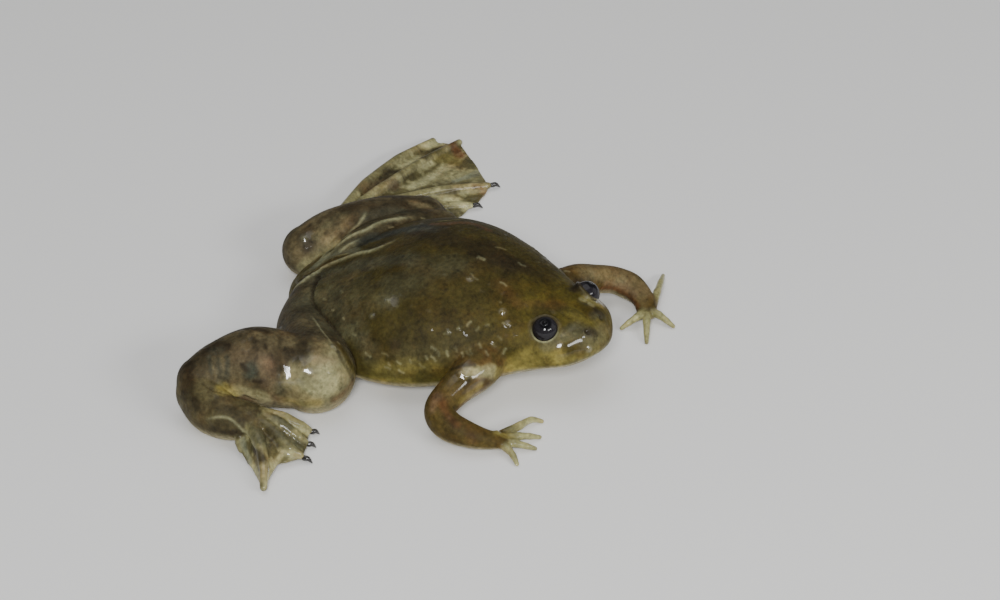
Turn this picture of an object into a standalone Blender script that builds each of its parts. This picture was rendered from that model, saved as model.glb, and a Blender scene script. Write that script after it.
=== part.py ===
"""African clawed frog at rest, life size: about 50 mm from snout to vent, hind legs folded.

Lengths are in millimetres in the frog's own frame: the floor is z = 0, the head points
along -Y and the frog's left is +X. Every piece hangs from one empty, which puts the middle
of the frog's footprint at the world's origin. A limb grows from the piece before it in its
chain and is cut clear of it by GAP, so that the two meet face to face.
"""

import math

import bmesh
import bpy
from mathutils import Vector

MM = 0.001
GAP = 0.3
SIDES = {"right": -1, "left": 1}

SNOUT_Y = -25.6
BODY_LENGTH = 49.6
BODY_BEND = 7.8
BEND_POWER = 1.8
NECK = 12.6

# Stations along the body: distance behind the snout, half width, underside, widest level, back.
BODY_STATIONS = (
    (0.0, 5.0, 6.0, 7.9, 11.0),
    (2.6, 6.4, 5.5, 7.7, 11.8),
    (5.6, 7.7, 4.8, 7.2, 12.4),
    (8.6, 8.9, 3.7, 6.4, 13.0),
    (12.6, 11.2, 2.2, 5.7, 14.2),
    (17.6, 14.0, 0.9, 4.9, 15.5),
    (23.6, 16.5, -0.3, 4.3, 16.2),
    (29.6, 17.5, -0.6, 4.0, 15.4),
    (35.6, 16.6, -0.5, 4.0, 12.9),
    (41.6, 13.8, -0.3, 4.1, 9.9),
    (46.6, 10.2, 0.3, 4.0, 7.7),
    (49.6, 7.6, 0.8, 3.8, 6.6),
)
SNOUT_ROUND = 4.2
RUMP_ROUND = 6.5
BODY_FLAT_SIDES = 0.86
BODY_FLAT_BACK = 0.92

EYE_RADIUS = 1.9
EYE_CENTRE = (5.3, -18.9, 11.1)
EYE_AXIS = (0.62, -0.42, 0.66)
ORBIT_RADIUS = 2.25
ORBIT_DEPTH = 0.8
LID_RADIUS = 0.4
LOWER_LID_EXTRA = 0.3

MOUTH_CORNER = 9.4
MOUTH_CORNER_LEVEL = 5.0
MOUTH_FRONT_LEVEL = 7.0
MOUTH_GROOVE = 0.28
LIP_RADIUS = 0.6
LIP_RISE = 0.7
LIP_SINK = 0.3
NOSTRIL_BACK = 2.3
NOSTRIL_ACROSS = 1.9
NOSTRIL_RADIUS = 0.35
NOSTRIL_RIM = 0.85

# Centre lines of the limbs: x, y, z, half width, half height.
ARMS = {
    "right": (
        (-9.0, -12.4, 6.8, 3.2, 3.3),
        (-13.5, -12.7, 6.3, 3.0, 3.0),
        (-17.6, -12.0, 5.2, 2.3, 2.5),
        (-20.9, -11.7, 3.7, 2.1, 2.3),
        (-22.2, -14.1, 2.9, 2.15, 2.2),
        (-21.7, -17.6, 2.3, 1.8, 1.8),
        (-20.4, -19.8, 1.7, 1.5, 1.3),
        (-19.0, -20.8, 1.3, 1.6, 0.9),
    ),
    "left": (
        (9.0, -11.4, 6.2, 3.0, 3.2),
        (13.4, -11.8, 5.6, 2.6, 2.9),
        (17.0, -12.8, 4.6, 2.0, 2.3),
        (19.8, -14.3, 3.5, 1.9, 2.1),
        (20.8, -16.6, 2.7, 2.0, 2.1),
        (20.4, -18.6, 2.2, 1.8, 1.6),
        (19.5, -20.0, 1.8, 1.6, 1.2),
        (18.6, -21.0, 1.3, 1.6, 0.9),
    ),
}
ELBOW_ROW = 3.2
WRIST_ROW = 5.9
FINGERS = {
    "right": (
        ((-17.9, -20.4, 1.4), (-15.3, -21.3, 1.5), (-12.6, -21.5, 1.0), (-11.3, -22.5, 0.35)),
        ((-18.3, -21.2, 1.3), (-17.2, -22.4, 1.4), (-15.7, -23.4, 0.9), (-14.5, -24.3, 0.35)),
        ((-18.9, -21.6, 1.2), (-18.5, -22.9, 1.2), (-17.7, -24.2, 0.8), (-17.0, -25.2, 0.35)),
        ((-19.7, -21.3, 1.2), (-20.0, -22.6, 1.1), (-20.6, -24.0, 0.8), (-21.3, -25.1, 0.35)),
    ),
    "left": (
        ((18.0, -20.8, 1.4), (16.3, -20.8, 1.5), (14.9, -20.2, 1.0), (13.9, -19.6, 0.35)),
        ((18.0, -21.4, 1.3), (16.3, -22.4, 1.4), (14.4, -23.6, 1.0), (13.0, -24.5, 0.35)),
        ((18.8, -21.6, 1.3), (18.6, -23.0, 1.4), (18.5, -24.4, 1.0), (18.6, -25.6, 0.35)),
        ((20.2, -21.0, 1.4), (22.9, -20.0, 1.6), (26.0, -18.7, 1.2), (28.7, -17.5, 0.5)),
    ),
}
FINGER_ROOT = 0.7
FINGER_TIP = 0.34

THIGHS = {
    "right": (
        (-9.4, 17.2, 4.2, 4.6, 4.3),
        (-15.8, 15.2, 4.1, 4.4, 4.1),
        (-20.9, 10.8, 4.8, 4.7, 4.8),
        (-25.4, 6.6, 5.3, 5.9, 5.8),
    ),
    "left": (
        (-4.8, 17.4, 4.2, 4.2, 4.2),
        (1.6, 16.2, 5.4, 5.3, 5.4),
        (8.0, 14.2, 5.4, 5.0, 5.2),
        (12.6, 12.6, 4.8, 4.2, 4.5),
    ),
}
SHANKS = {
    "right": (
        (-27.2, 9.4, 5.5, 5.2, 5.4),
        (-29.8, 13.6, 6.0, 5.4, 5.8),
        (-33.2, 16.8, 5.4, 4.4, 5.0),
        (-36.0, 18.4, 4.6, 3.4, 4.4),
    ),
    "left": (
        (13.6, 16.2, 5.0, 4.5, 4.7),
        (8.8, 19.4, 5.2, 5.6, 5.5),
        (3.4, 24.2, 4.9, 5.0, 5.0),
        (-0.4, 26.9, 4.2, 3.9, 4.0),
    ),
}
ANKLES = {
    "right": (
        (-36.9, 18.2, 4.0, 3.2, 4.0),
        (-38.4, 15.2, 3.5, 3.1, 3.8),
        (-38.4, 12.0, 3.2, 3.0, 3.3),
        (-37.2, 9.2, 3.0, 3.0, 2.4),
    ),
    "left": (
        (0.0, 28.0, 3.2, 2.8, 3.0),
        (3.6, 29.6, 2.7, 2.5, 2.6),
        (7.4, 29.8, 2.2, 2.6, 2.2),
        (10.8, 29.4, 1.9, 3.0, 1.8),
    ),
}
# Toes from the inner one to the outer one, each from its root to its tip.
TOES = {
    "right": (
        ((-35.4, 8.9, 3.4), (-34.2, 5.4, 3.2), (-33.0, 3.2, 2.0), (-31.9, 2.3, 0.8)),
        ((-36.2, 8.6, 3.7), (-35.7, 4.9, 3.4), (-35.2, 2.1, 2.0), (-34.4, 1.0, 0.8)),
        ((-37.0, 8.5, 3.7), (-37.4, 4.9, 3.4), (-37.8, 1.5, 2.0), (-37.2, -0.4, 0.8)),
        ((-37.8, 8.7, 3.5), (-39.9, 5.3, 3.4), (-42.5, 2.4, 2.2), (-46.0, -0.3, 0.7)),
        ((-38.4, 9.4, 3.0), (-39.4, 8.9, 2.4), (-40.3, 8.2, 1.6), (-41.2, 7.2, 0.8)),
    ),
    "left": (
        ((9.8, 28.0, 2.0), (14.0, 24.6, 1.8), (18.0, 20.4, 1.3), (21.0, 17.0, 0.8)),
        ((10.3, 28.4, 2.2), (17.0, 25.2, 1.9), (23.6, 20.8, 1.4), (28.0, 16.6, 0.8)),
        ((10.8, 29.0, 2.3), (19.0, 27.0, 2.0), (27.4, 22.8, 1.5), (34.3, 17.6, 0.8)),
        ((11.2, 29.7, 2.2), (20.4, 30.0, 2.0), (31.6, 29.8, 1.6), (42.2, 28.9, 0.8)),
        ((11.4, 30.4, 2.0), (21.2, 32.6, 2.0), (31.0, 33.4, 1.5), (40.2, 32.6, 0.8)),
    ),
}
TOE_ROOT = 1.0
TOE_TIP = 0.5
RIDGE_SHOULDER = 0.6
RIDGE_FOOT = 1.1
WEB = 0.5
# How far the margin of the web reaches towards the tips, between each two toes.
WEB_REACH = {"right": (0.90, 0.94, 0.74, 0.88), "left": (0.98, 1.0, 0.99, 0.96)}
FOOT_ROWS = 11
SOLE = 1.0
CLAWED_TOES = 3
CLAW_LENGTH = 1.3
CLAW_RADIUS = 0.42
CLAW_TIP_RADIUS = 0.15

BODY_RINGS = 34
BODY_CORNERS = 32
SHARPEST_SHELL = 1.5

COLOURS = {
    "head": (0.12, 0.10, 0.035),
    "torso": (0.065, 0.055, 0.025),
    "eye": (0.012, 0.012, 0.015),
    "upper": (0.15, 0.08, 0.035),
    "forearm": (0.15, 0.08, 0.035),
    "hand": (0.22, 0.17, 0.08),
    "finger": (0.40, 0.38, 0.20),
    "thigh": (0.20, 0.18, 0.09),
    "shank": (0.10, 0.08, 0.035),
    "ankle": (0.11, 0.09, 0.045),
    "foot": (0.28, 0.24, 0.16),
    "claw": (0.010, 0.009, 0.008),
}
SKIN_ROUGHNESS = 0.3
EYE_ROUGHNESS = 0.05


def smooth_row(rows, where):
    """Row of the table at a fractional index, on a curve through all of its rows."""
    last = len(rows) - 1
    index = min(max(int(where), 0), last - 1)
    t = where - index
    before = rows[max(index - 1, 0)]
    start = rows[index]
    end = rows[index + 1]
    after = rows[min(index + 2, last)]
    found = []
    for a, b, c, d in zip(before, start, end, after):
        bend = (2 * a - 5 * b + 4 * c - d) * t + (3 * b - a - 3 * c + d) * t * t
        found.append(b + 0.5 * t * (c - a + bend))
    return found


def signed_power(value, power):
    return math.copysign(abs(value) ** power, value)


def body_row(distance):
    """Half width, underside, widest level and back of the body, this far behind the snout."""
    places = [row[0] for row in BODY_STATIONS]
    index = 0
    while index < len(places) - 2 and places[index + 1] < distance:
        index += 1
    step = (distance - places[index]) / (places[index + 1] - places[index])
    return smooth_row(BODY_STATIONS, index + step)[1:]


def body_axis(distance):
    """Centre of the body in plan this far behind the snout, and the direction to its left."""
    share = distance / BODY_LENGTH
    centre = Vector((-BODY_BEND * share**BEND_POWER, SNOUT_Y + distance, 0.0))
    slope = -BEND_POWER * BODY_BEND / BODY_LENGTH * share ** (BEND_POWER - 1)
    return centre, Vector((1.0, -slope, 0.0)).normalized()


def end_shrink(distance):
    """How far the body is drawn in by the domes of its two ends."""
    from_end = min(distance / SNOUT_ROUND, (BODY_LENGTH - distance) / RUMP_ROUND, 1.0)
    return math.sqrt(1 - (1 - from_end) ** 2)


def body_ring(distance, count):
    """Points round the body this far behind the snout, level where it lies on the floor."""
    half_width, low, side, high = body_row(distance)
    shrink = end_shrink(distance)
    centre, left = body_axis(distance)
    points = []
    for index in range(count):
        angle = 2 * math.pi * index / count
        across = signed_power(math.cos(angle), BODY_FLAT_SIDES)
        upward = signed_power(math.sin(angle), BODY_FLAT_BACK)
        reach = high - side if upward > 0 else side - low
        point = centre + left * half_width * across * shrink
        point.z = max(side + reach * upward * shrink, 0.0)
        points.append(point)
    return points


def back_point(distance, across):
    """Point on top of the body, this far behind the snout and to the left of its middle."""
    half_width, _, side, high = body_row(distance)
    shrink = end_shrink(distance)
    centre, left = body_axis(distance)
    cosine = (abs(across) / (half_width * shrink)) ** (1 / BODY_FLAT_SIDES)
    rise = math.sqrt(max(1 - cosine**2, 0)) ** BODY_FLAT_BACK
    point = centre + left * across
    point.z = side + (high - side) * shrink * rise
    return point


def mouth_path(steps, rise, sink):
    """Points along the mouth line from its right corner round the snout to its left one."""
    half = []
    for index in range(steps + 1):
        share = (index / steps) ** 2
        level = MOUTH_FRONT_LEVEL + (MOUTH_CORNER_LEVEL - MOUTH_FRONT_LEVEL) * share
        low_front, side_front = body_row(0.0)[1:3]
        drop = (side_front - MOUTH_FRONT_LEVEL) / (side_front - low_front)
        front = SNOUT_ROUND * (1 - math.sqrt(1 - drop ** (2 / BODY_FLAT_BACK)))
        distance = front + (MOUTH_CORNER - front) * share
        half_width, low, side, _ = body_row(distance)
        shrink = end_shrink(distance)
        sine = (max(side - level, 0) / (side - low) / shrink) ** (1 / BODY_FLAT_BACK)
        cosine = math.sqrt(max(1 - min(sine, 1) ** 2, 0)) ** BODY_FLAT_SIDES
        centre, left = body_axis(distance)
        half.append((centre, left, half_width * shrink * cosine, level + rise))
    path = []
    for sign, rows in ((-1, half[::-1]), (1, half[1:])):
        for centre, left, across, level in rows:
            point = centre + left * sign * max(across - sink, 0)
            point.y += sink * (1 - min(across / NOSTRIL_ACROSS, 1))
            point.z = level
            path.append(point)
    return path


def closed_skin(rings, first, last):
    """Mesh through the rings, closed by a fan to a point at each end."""
    mesh = bmesh.new()
    loops = [[mesh.verts.new(point * MM) for point in ring] for ring in rings]
    count = len(loops[0])
    for near, far in zip(loops, loops[1:]):
        for index in range(count):
            after = (index + 1) % count
            mesh.faces.new((near[index], near[after], far[after], far[index]))
    for loop, tip in ((loops[0], first), (loops[-1], last)):
        pole = mesh.verts.new(tip * MM)
        for index in range(count):
            mesh.faces.new((loop[index], loop[(index + 1) % count], pole))
    bmesh.ops.recalc_face_normals(mesh, faces=mesh.faces)
    return mesh


def paint(obj):
    """Gives the object a material of its own, coloured by the first word of its name."""
    material = bpy.data.materials.new(obj.name)
    material.use_nodes = True
    shader = material.node_tree.nodes["Principled BSDF"]
    word = obj.name.split("_")[0]
    shader.inputs["Base Color"].default_value = (*COLOURS[word], 1.0)
    shader.inputs["Roughness"].default_value = EYE_ROUGHNESS if word == "eye" else SKIN_ROUGHNESS
    obj.data.materials.clear()
    obj.data.materials.append(material)


def make_object(name, mesh):
    data = bpy.data.meshes.new(name)
    mesh.to_mesh(data)
    mesh.free()
    obj = bpy.data.objects.new(name, data)
    bpy.context.scene.collection.objects.link(obj)
    return obj


def body_mesh(stations, count):
    rings = []
    for index in range(1, stations):
        share = 0.5 - 0.5 * math.cos(math.pi * index / stations)
        rings.append(body_ring(share * BODY_LENGTH, count))
    ends = []
    for distance in (0.0, BODY_LENGTH):
        centre, _ = body_axis(distance)
        centre.z = body_row(distance)[2]
        ends.append(centre)
    return closed_skin(rings, *ends)


def limb_mesh(rows, stations, count):
    """Elliptical tube along a smooth curve through the rows, with domed ends."""
    last = len(rows) - 1
    path = [smooth_row(rows, last * index / stations) for index in range(stations + 1)]
    rings = []
    ends = []
    for index, (x, y, z, wide, tall) in enumerate(path):
        centre = Vector((x, y, z))
        before = Vector(path[max(index - 1, 0)][:3])
        after = Vector(path[min(index + 1, stations)][:3])
        forward = (after - before).normalized()
        side = forward.cross(Vector((0, 0, 1))).normalized()
        up = side.cross(forward)
        domes = ((0.0, 1.0),)
        if index == 0:
            domes = ((-0.8, 0.6), (-0.5, 0.866), (0.0, 1.0))
            ends.append(centre - forward * wide)
        if index == stations:
            domes = ((0.0, 1.0), (0.5, 0.866), (0.8, 0.6))
            ends.append(centre + forward * wide)
        for shift, scale in domes:
            ring = []
            for corner in range(count):
                angle = 2 * math.pi * corner / count
                point = centre + forward * shift * wide
                point += side * wide * scale * math.cos(angle)
                point += up * tall * scale * math.sin(angle)
                point.z = max(point.z, 0.0)
                ring.append(point)
            rings.append(ring)
    for end in ends:
        end.z = max(end.z, 0.0)
    return closed_skin(rings, *ends)


def tapered(points, root, tip):
    """Rows of a round limb through the points, thinning from its root to its tip."""
    last = len(points) - 1
    rows = []
    for index, point in enumerate(points):
        radius = root + (tip - root) * index / last
        rows.append((*point, radius, radius))
    return rows


def foot_columns(toes, web_reach):
    """Toe, share of the way to the next toe's ridge, ridge height and reach of each column."""
    columns = [(0, "edge", 0.0, 0.93), (0, "edge", 0.5, 0.97)]
    for toe in range(len(toes) - 1):
        columns.append((toe, "crest", 1.0, 1.0))
        columns.append((toe, "near", 0.8, 0.99))
        columns.append((toe, "near", 0.0, (0.97 + web_reach[toe]) / 2))
        columns.append((toe, "middle", 0.0, web_reach[toe]))
        columns.append((toe, "far", 0.0, (0.97 + web_reach[toe]) / 2))
        columns.append((toe, "far", 0.8, 0.99))
    columns.append((len(toes) - 1, "crest", 1.0, 1.0))
    columns.append((len(toes) - 1, "rim", 0.5, 0.97))
    columns.append((len(toes) - 1, "rim", 0.0, 0.93))
    return columns


def foot_point(toes, column, along):
    """Point on the middle surface of the foot, and half of its thickness there."""
    toe, kind, height, reach = column
    along = along * reach
    radius = TOE_ROOT + (TOE_TIP - TOE_ROOT) * along
    last = len(toes[0]) - 1
    own = Vector(smooth_row(toes[toe], last * along))
    bulk = SOLE * (1 - along) ** 3
    half = WEB / 2 + (radius - WEB / 2) * height + bulk
    spread = RIDGE_SHOULDER if height else RIDGE_FOOT
    if kind == "crest":
        return own, half
    if kind in ("edge", "rim"):
        neighbour = 1 if kind == "edge" else toe - 1
        other = Vector(smooth_row(toes[neighbour], last * along))
        outward = (own - other).normalized()
        return own + outward * radius * spread, half
    other = Vector(smooth_row(toes[toe + 1], last * along))
    widest = 0.2 if height else 0.4
    step = min(spread * radius / (other - own).length, widest)
    share = {"near": step, "middle": 0.5, "far": 1 - step}[kind]
    return own.lerp(other, share), half


def foot_mesh(toes, web_reach):
    """Five toes as ridges on one web, triangulated alike above and below."""
    rows = FOOT_ROWS
    columns = foot_columns(toes, web_reach)
    grid = []
    for row in range(rows + 1):
        grid.append([foot_point(toes, column, row / rows) for column in columns])
    mesh = bmesh.new()
    faces = {}
    for side in (1, -1):
        layer = []
        for row in range(rows + 1):
            line = []
            for index in range(len(columns)):
                before_row = grid[max(row - 1, 0)][index][0]
                after_row = grid[min(row + 1, rows)][index][0]
                left = grid[row][max(index - 1, 0)][0]
                right = grid[row][min(index + 1, len(columns) - 1)][0]
                normal = (after_row - before_row).cross(right - left).normalized()
                if normal.z < 0:
                    normal.negate()
                centre, half = grid[row][index]
                point = centre + (normal + Vector((0, 0, 1))).normalized() * half * side
                point.z = max(point.z, 0.0 if side < 0 else WEB)
                line.append(mesh.verts.new(point * MM))
            layer.append(line)
        faces[side] = layer
        for row in range(rows):
            for index in range(len(columns) - 1):
                a, b = layer[row][index], layer[row][index + 1]
                c, d = layer[row + 1][index + 1], layer[row + 1][index]
                mesh.faces.new((a, b, c))
                mesh.faces.new((a, c, d))
    border = [(0, index) for index in range(len(columns))]
    border += [(row, len(columns) - 1) for row in range(1, rows + 1)]
    border += [(rows, index) for index in range(len(columns) - 2, -1, -1)]
    border += [(row, 0) for row in range(rows - 1, 0, -1)]
    for here, after in zip(border, border[1:] + border[:1]):
        top_here = faces[1][here[0]][here[1]]
        top_after = faces[1][after[0]][after[1]]
        low_here = faces[-1][here[0]][here[1]]
        low_after = faces[-1][after[0]][after[1]]
        mesh.faces.new((top_here, top_after, low_after, low_here))
    bmesh.ops.recalc_face_normals(mesh, faces=mesh.faces)
    return mesh


def ring_mesh(centre, axis, major, radius_at, steps, count):
    """Closed ring round an axis, whose thickness changes with the angle round it."""
    axis = axis.normalized()
    level = axis.cross(Vector((0, 0, 1))).normalized()
    rising = level.cross(axis)
    mesh = bmesh.new()
    loops = []
    for step in range(steps):
        angle = 2 * math.pi * step / steps
        outward = level * math.cos(angle) + rising * math.sin(angle)
        radius = radius_at(angle)
        loop = []
        for corner in range(count):
            turn = 2 * math.pi * corner / count
            point = centre + outward * (major + radius * math.cos(turn))
            point += axis * radius * math.sin(turn)
            loop.append(mesh.verts.new(point * MM))
        loops.append(loop)
    for step in range(steps):
        near = loops[step]
        far = loops[(step + 1) % steps]
        for corner in range(count):
            after = (corner + 1) % count
            mesh.faces.new((near[corner], near[after], far[after], far[corner]))
    bmesh.ops.recalc_face_normals(mesh, faces=mesh.faces)
    return mesh


def ball_mesh(centre, radius, segments):
    mesh = bmesh.new()
    bmesh.ops.create_uvsphere(
        mesh, u_segments=segments, v_segments=segments * 5 // 8, radius=radius * MM
    )
    bmesh.ops.translate(mesh, verts=mesh.verts, vec=centre * MM)
    return mesh


def apply_boolean(obj, other, operation):
    """Joins another object to this one or cuts it away, and removes the other."""
    modifier = obj.modifiers.new("boolean", "BOOLEAN")
    modifier.object = other
    modifier.operation = operation
    modifier.solver = "EXACT"
    bpy.context.view_layer.update()
    graph = bpy.context.evaluated_depsgraph_get()
    data = bpy.data.meshes.new_from_object(obj.evaluated_get(graph))
    obj.modifiers.remove(modifier)
    old = obj.data
    obj.data = data
    bpy.data.meshes.remove(old)
    bpy.data.objects.remove(other, do_unlink=True)
    keep_largest(obj)


def group_volume(group):
    """Volume inside the faces of a group of linked vertices."""
    total = 0.0
    for face in {face for vert in group for face in vert.link_faces}:
        first = face.verts[0].co
        for second, third in zip(face.verts[1:], face.verts[2:]):
            total += first.dot(second.co.cross(third.co)) / 6
    return abs(total)


def keep_largest(obj):
    """Leaves only the largest closed surface of the object."""
    mesh = bmesh.new()
    mesh.from_mesh(obj.data)
    bmesh.ops.remove_doubles(mesh, verts=mesh.verts, dist=0.002 * MM)
    left = set(mesh.verts)
    groups = []
    while left:
        group = {left.pop()}
        front = list(group)
        while front:
            vert = front.pop()
            for edge in vert.link_edges:
                other = edge.other_vert(vert)
                if other in left:
                    left.discard(other)
                    group.add(other)
                    front.append(other)
        groups.append(group)
    groups.sort(key=group_volume)
    spare = [vert for group in groups[:-1] for vert in group]
    bmesh.ops.delete(mesh, geom=spare, context="VERTS")
    mesh.to_mesh(obj.data)
    mesh.free()


def grown_copy(obj):
    """Copy of the object, swollen by the gap all over."""
    mesh = bmesh.new()
    mesh.from_mesh(obj.data)
    mesh.normal_update()
    places = []
    for vert in mesh.verts:
        step = GAP * min(vert.calc_shell_factor(), SHARPEST_SHELL)
        places.append(vert.co + vert.normal * step * MM)
    for vert, place in zip(mesh.verts, places):
        vert.co = place
    return make_object("clearance", mesh)


def boxes_meet(first, second):
    for axis in range(3):
        own = [vert.co[axis] for vert in first.data.vertices]
        other = [vert.co[axis] for vert in second.data.vertices]
        if min(own) > max(other) + GAP * MM or min(other) > max(own) + GAP * MM:
            return False
    return True


def cut_clear(obj, wholes):
    """Cuts the object clear of all the whole shapes by the gap."""
    for whole in wholes:
        if boxes_meet(obj, whole):
            apply_boolean(obj, grown_copy(whole), "DIFFERENCE")


def limb_pair(name, rows, stations, count):
    """A limb's piece, and a helper of the same shape that later pieces are cut clear of."""
    piece = make_object(name, limb_mesh(rows, stations, count))
    whole = make_object("whole_" + name, limb_mesh(rows, stations, count))
    whole.hide_render = True
    whole.display_type = "WIRE"
    return piece, whole


def part_at(obj, names, point, normal):
    """Parts an object with a thin flat cut: the first name is the piece behind the plane."""
    pieces = []
    for name, sign in zip(names, (-1, 1)):
        mesh = bmesh.new()
        mesh.from_mesh(obj.data)
        place = (point + normal * sign * GAP / 2) * MM
        parts = mesh.verts[:] + mesh.edges[:] + mesh.faces[:]
        cut = bmesh.ops.bisect_plane(
            mesh, geom=parts, plane_co=place, plane_no=normal * -sign, clear_outer=True
        )
        edges = [item for item in cut["geom_cut"] if isinstance(item, bmesh.types.BMEdge)]
        bmesh.ops.edgenet_fill(mesh, edges=edges)
        bmesh.ops.recalc_face_normals(mesh, faces=mesh.faces)
        piece = make_object(name, mesh)
        keep_largest(piece)
        pieces.append(piece)
    bpy.data.objects.remove(obj, do_unlink=True)
    return pieces


def make_body():
    """The head and the torso, parted at the neck, and their whole shape as a helper."""
    body = make_object("body", body_mesh(BODY_RINGS, BODY_CORNERS))
    whole = make_object("whole_body", body_mesh(BODY_RINGS, BODY_CORNERS))
    whole.hide_render = True
    whole.display_type = "WIRE"
    centre, left = body_axis(NECK)
    centre.z = body_row(NECK)[2]
    backward = left.cross(Vector((0, 0, -1)))
    return part_at(body, ("head", "torso"), centre, backward) + [whole]


def finish_head(head):
    """Lids, lips, the mouth line and nostrils, and a socket for each eye."""
    lip = [(*point, LIP_RADIUS, LIP_RADIUS) for point in mouth_path(9, LIP_RISE, LIP_SINK)]
    apply_boolean(head, make_object("lip", limb_mesh(lip, 36, 8)), "UNION")
    for sign in SIDES.values():
        across = sign * NOSTRIL_ACROSS
        rim = back_point(NOSTRIL_BACK, across)
        rim.z -= NOSTRIL_RIM * 0.6
        apply_boolean(head, make_object("rim", ball_mesh(rim, NOSTRIL_RIM, 10)), "UNION")
        centre = Vector((sign * EYE_CENTRE[0], EYE_CENTRE[1], EYE_CENTRE[2]))
        axis = Vector((sign * EYE_AXIS[0], EYE_AXIS[1], EYE_AXIS[2])).normalized()

        def lid_radius(angle):
            return LID_RADIUS + LOWER_LID_EXTRA * max(-math.sin(angle), 0)

        orbit = ball_mesh(centre - axis * ORBIT_DEPTH, ORBIT_RADIUS, 20)
        apply_boolean(head, make_object("orbit", orbit), "UNION")
        lid = ring_mesh(centre + axis * 0.2, axis, EYE_RADIUS, lid_radius, 24, 8)
        apply_boolean(head, make_object("lid", lid), "UNION")
        socket = ball_mesh(centre, EYE_RADIUS + GAP, 20)
        apply_boolean(head, make_object("socket", socket), "DIFFERENCE")
        pit = back_point(NOSTRIL_BACK, across)
        pit.z += 0.1
        pit.y -= 0.2
        apply_boolean(head, make_object("pit", ball_mesh(pit, NOSTRIL_RADIUS, 8)), "DIFFERENCE")
    groove = [(*point, MOUTH_GROOVE, MOUTH_GROOVE) for point in mouth_path(9, 0.0, 0.0)]
    apply_boolean(head, make_object("groove", limb_mesh(groove, 36, 6)), "DIFFERENCE")


def make_eyes():
    eyes = []
    for side, sign in SIDES.items():
        centre = Vector((sign * EYE_CENTRE[0], EYE_CENTRE[1], EYE_CENTRE[2]))
        eyes.append(make_object("eye_" + side, ball_mesh(centre, EYE_RADIUS, 16)))
    return eyes


def row_plane(rows, where):
    """Point and direction of a limb's centre line at a fractional row."""
    point = Vector(smooth_row(rows, where)[:3])
    after = Vector(smooth_row(rows, where + 0.05)[:3])
    return point, (after - point).normalized()


def make_arm(side, body):
    """Upper arm, forearm, hand and four fingers."""
    rows = ARMS[side]
    arm, whole = limb_pair("arm_" + side, rows, 22, 14)
    upper, rest = part_at(arm, ("upper_arm_" + side, "rest"), *row_plane(rows, ELBOW_ROW))
    forearm, hand = part_at(rest, ("forearm_" + side, "hand_" + side), *row_plane(rows, WRIST_ROW))
    cut_clear(upper, [body])
    made = [upper, forearm, hand]
    wholes = [whole]
    for index, points in enumerate(FINGERS[side]):
        finger_rows = tapered(points, FINGER_ROOT, FINGER_TIP)
        finger, finger_whole = limb_pair(f"finger_{side}_{index + 1}", finger_rows, 9, 8)
        cut_clear(finger, wholes)
        made.append(finger)
        wholes.append(finger_whole)
    return made


def make_leg(side, body):
    """Thigh, shank, ankle, webbed foot and three claws."""
    made = []
    wholes = [body]
    for name, table in (("thigh", THIGHS), ("shank", SHANKS), ("ankle", ANKLES)):
        piece, whole = limb_pair(f"{name}_{side}", table[side], 14, 18)
        cut_clear(piece, wholes)
        made.append(piece)
        wholes.append(whole)
    foot = make_object("foot_" + side, foot_mesh(TOES[side], WEB_REACH[side]))
    cut_clear(foot, wholes)
    made.append(foot)
    for index in range(CLAWED_TOES):
        toe = TOES[side][index]
        tip = Vector(toe[-1])
        forward = (tip - Vector(toe[-2])).normalized()
        start = tip + forward * (GAP + CLAW_RADIUS)
        end = start + forward * (CLAW_LENGTH - 2 * CLAW_RADIUS)
        start.z = max(start.z, CLAW_RADIUS)
        end.z = CLAW_TIP_RADIUS
        points = (start, start.lerp(end, 0.5), end)
        claw = limb_mesh(tapered(points, CLAW_RADIUS, CLAW_TIP_RADIUS), 4, 8)
        made.append(make_object(f"claw_{side}_{index + 1}", claw))
    return made


def centre_and_paint(pieces):
    """Hangs the pieces from an empty that puts the middle of their footprint at the origin."""
    corners = [vert.co for piece in pieces for vert in piece.data.vertices]
    middle = Vector((0, 0, 0))
    for axis in range(2):
        places = [corner[axis] for corner in corners]
        middle[axis] = (min(places) + max(places)) / 2
    holder = bpy.data.objects.new("frog", None)
    holder.location = -middle
    bpy.context.scene.collection.objects.link(holder)
    for piece in pieces:
        piece.parent = holder
        paint(piece)


def main():
    for obj in list(bpy.data.objects):
        bpy.data.objects.remove(obj, do_unlink=True)
    head, torso, body = make_body()
    finish_head(head)
    pieces = [head, torso] + make_eyes()
    for side in SIDES:
        pieces += make_arm(side, body)
    for side in SIDES:
        pieces += make_leg(side, body)
    for obj in list(bpy.data.objects):
        if obj.name.startswith("whole_"):
            bpy.data.objects.remove(obj, do_unlink=True)
    centre_and_paint(pieces)


main()
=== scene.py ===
"""African clawed frog at rest: one wet skin over the whole body, with eyes and claws.

Lengths are in millimetres in the frog's own frame until the pieces are placed: the floor is
z = 0, the head points along -Y and the frog's left is +X.
"""

import math

import bpy
import numpy as np
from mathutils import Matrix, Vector
from mathutils.bvhtree import BVHTree
from mathutils.kdtree import KDTree

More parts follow.
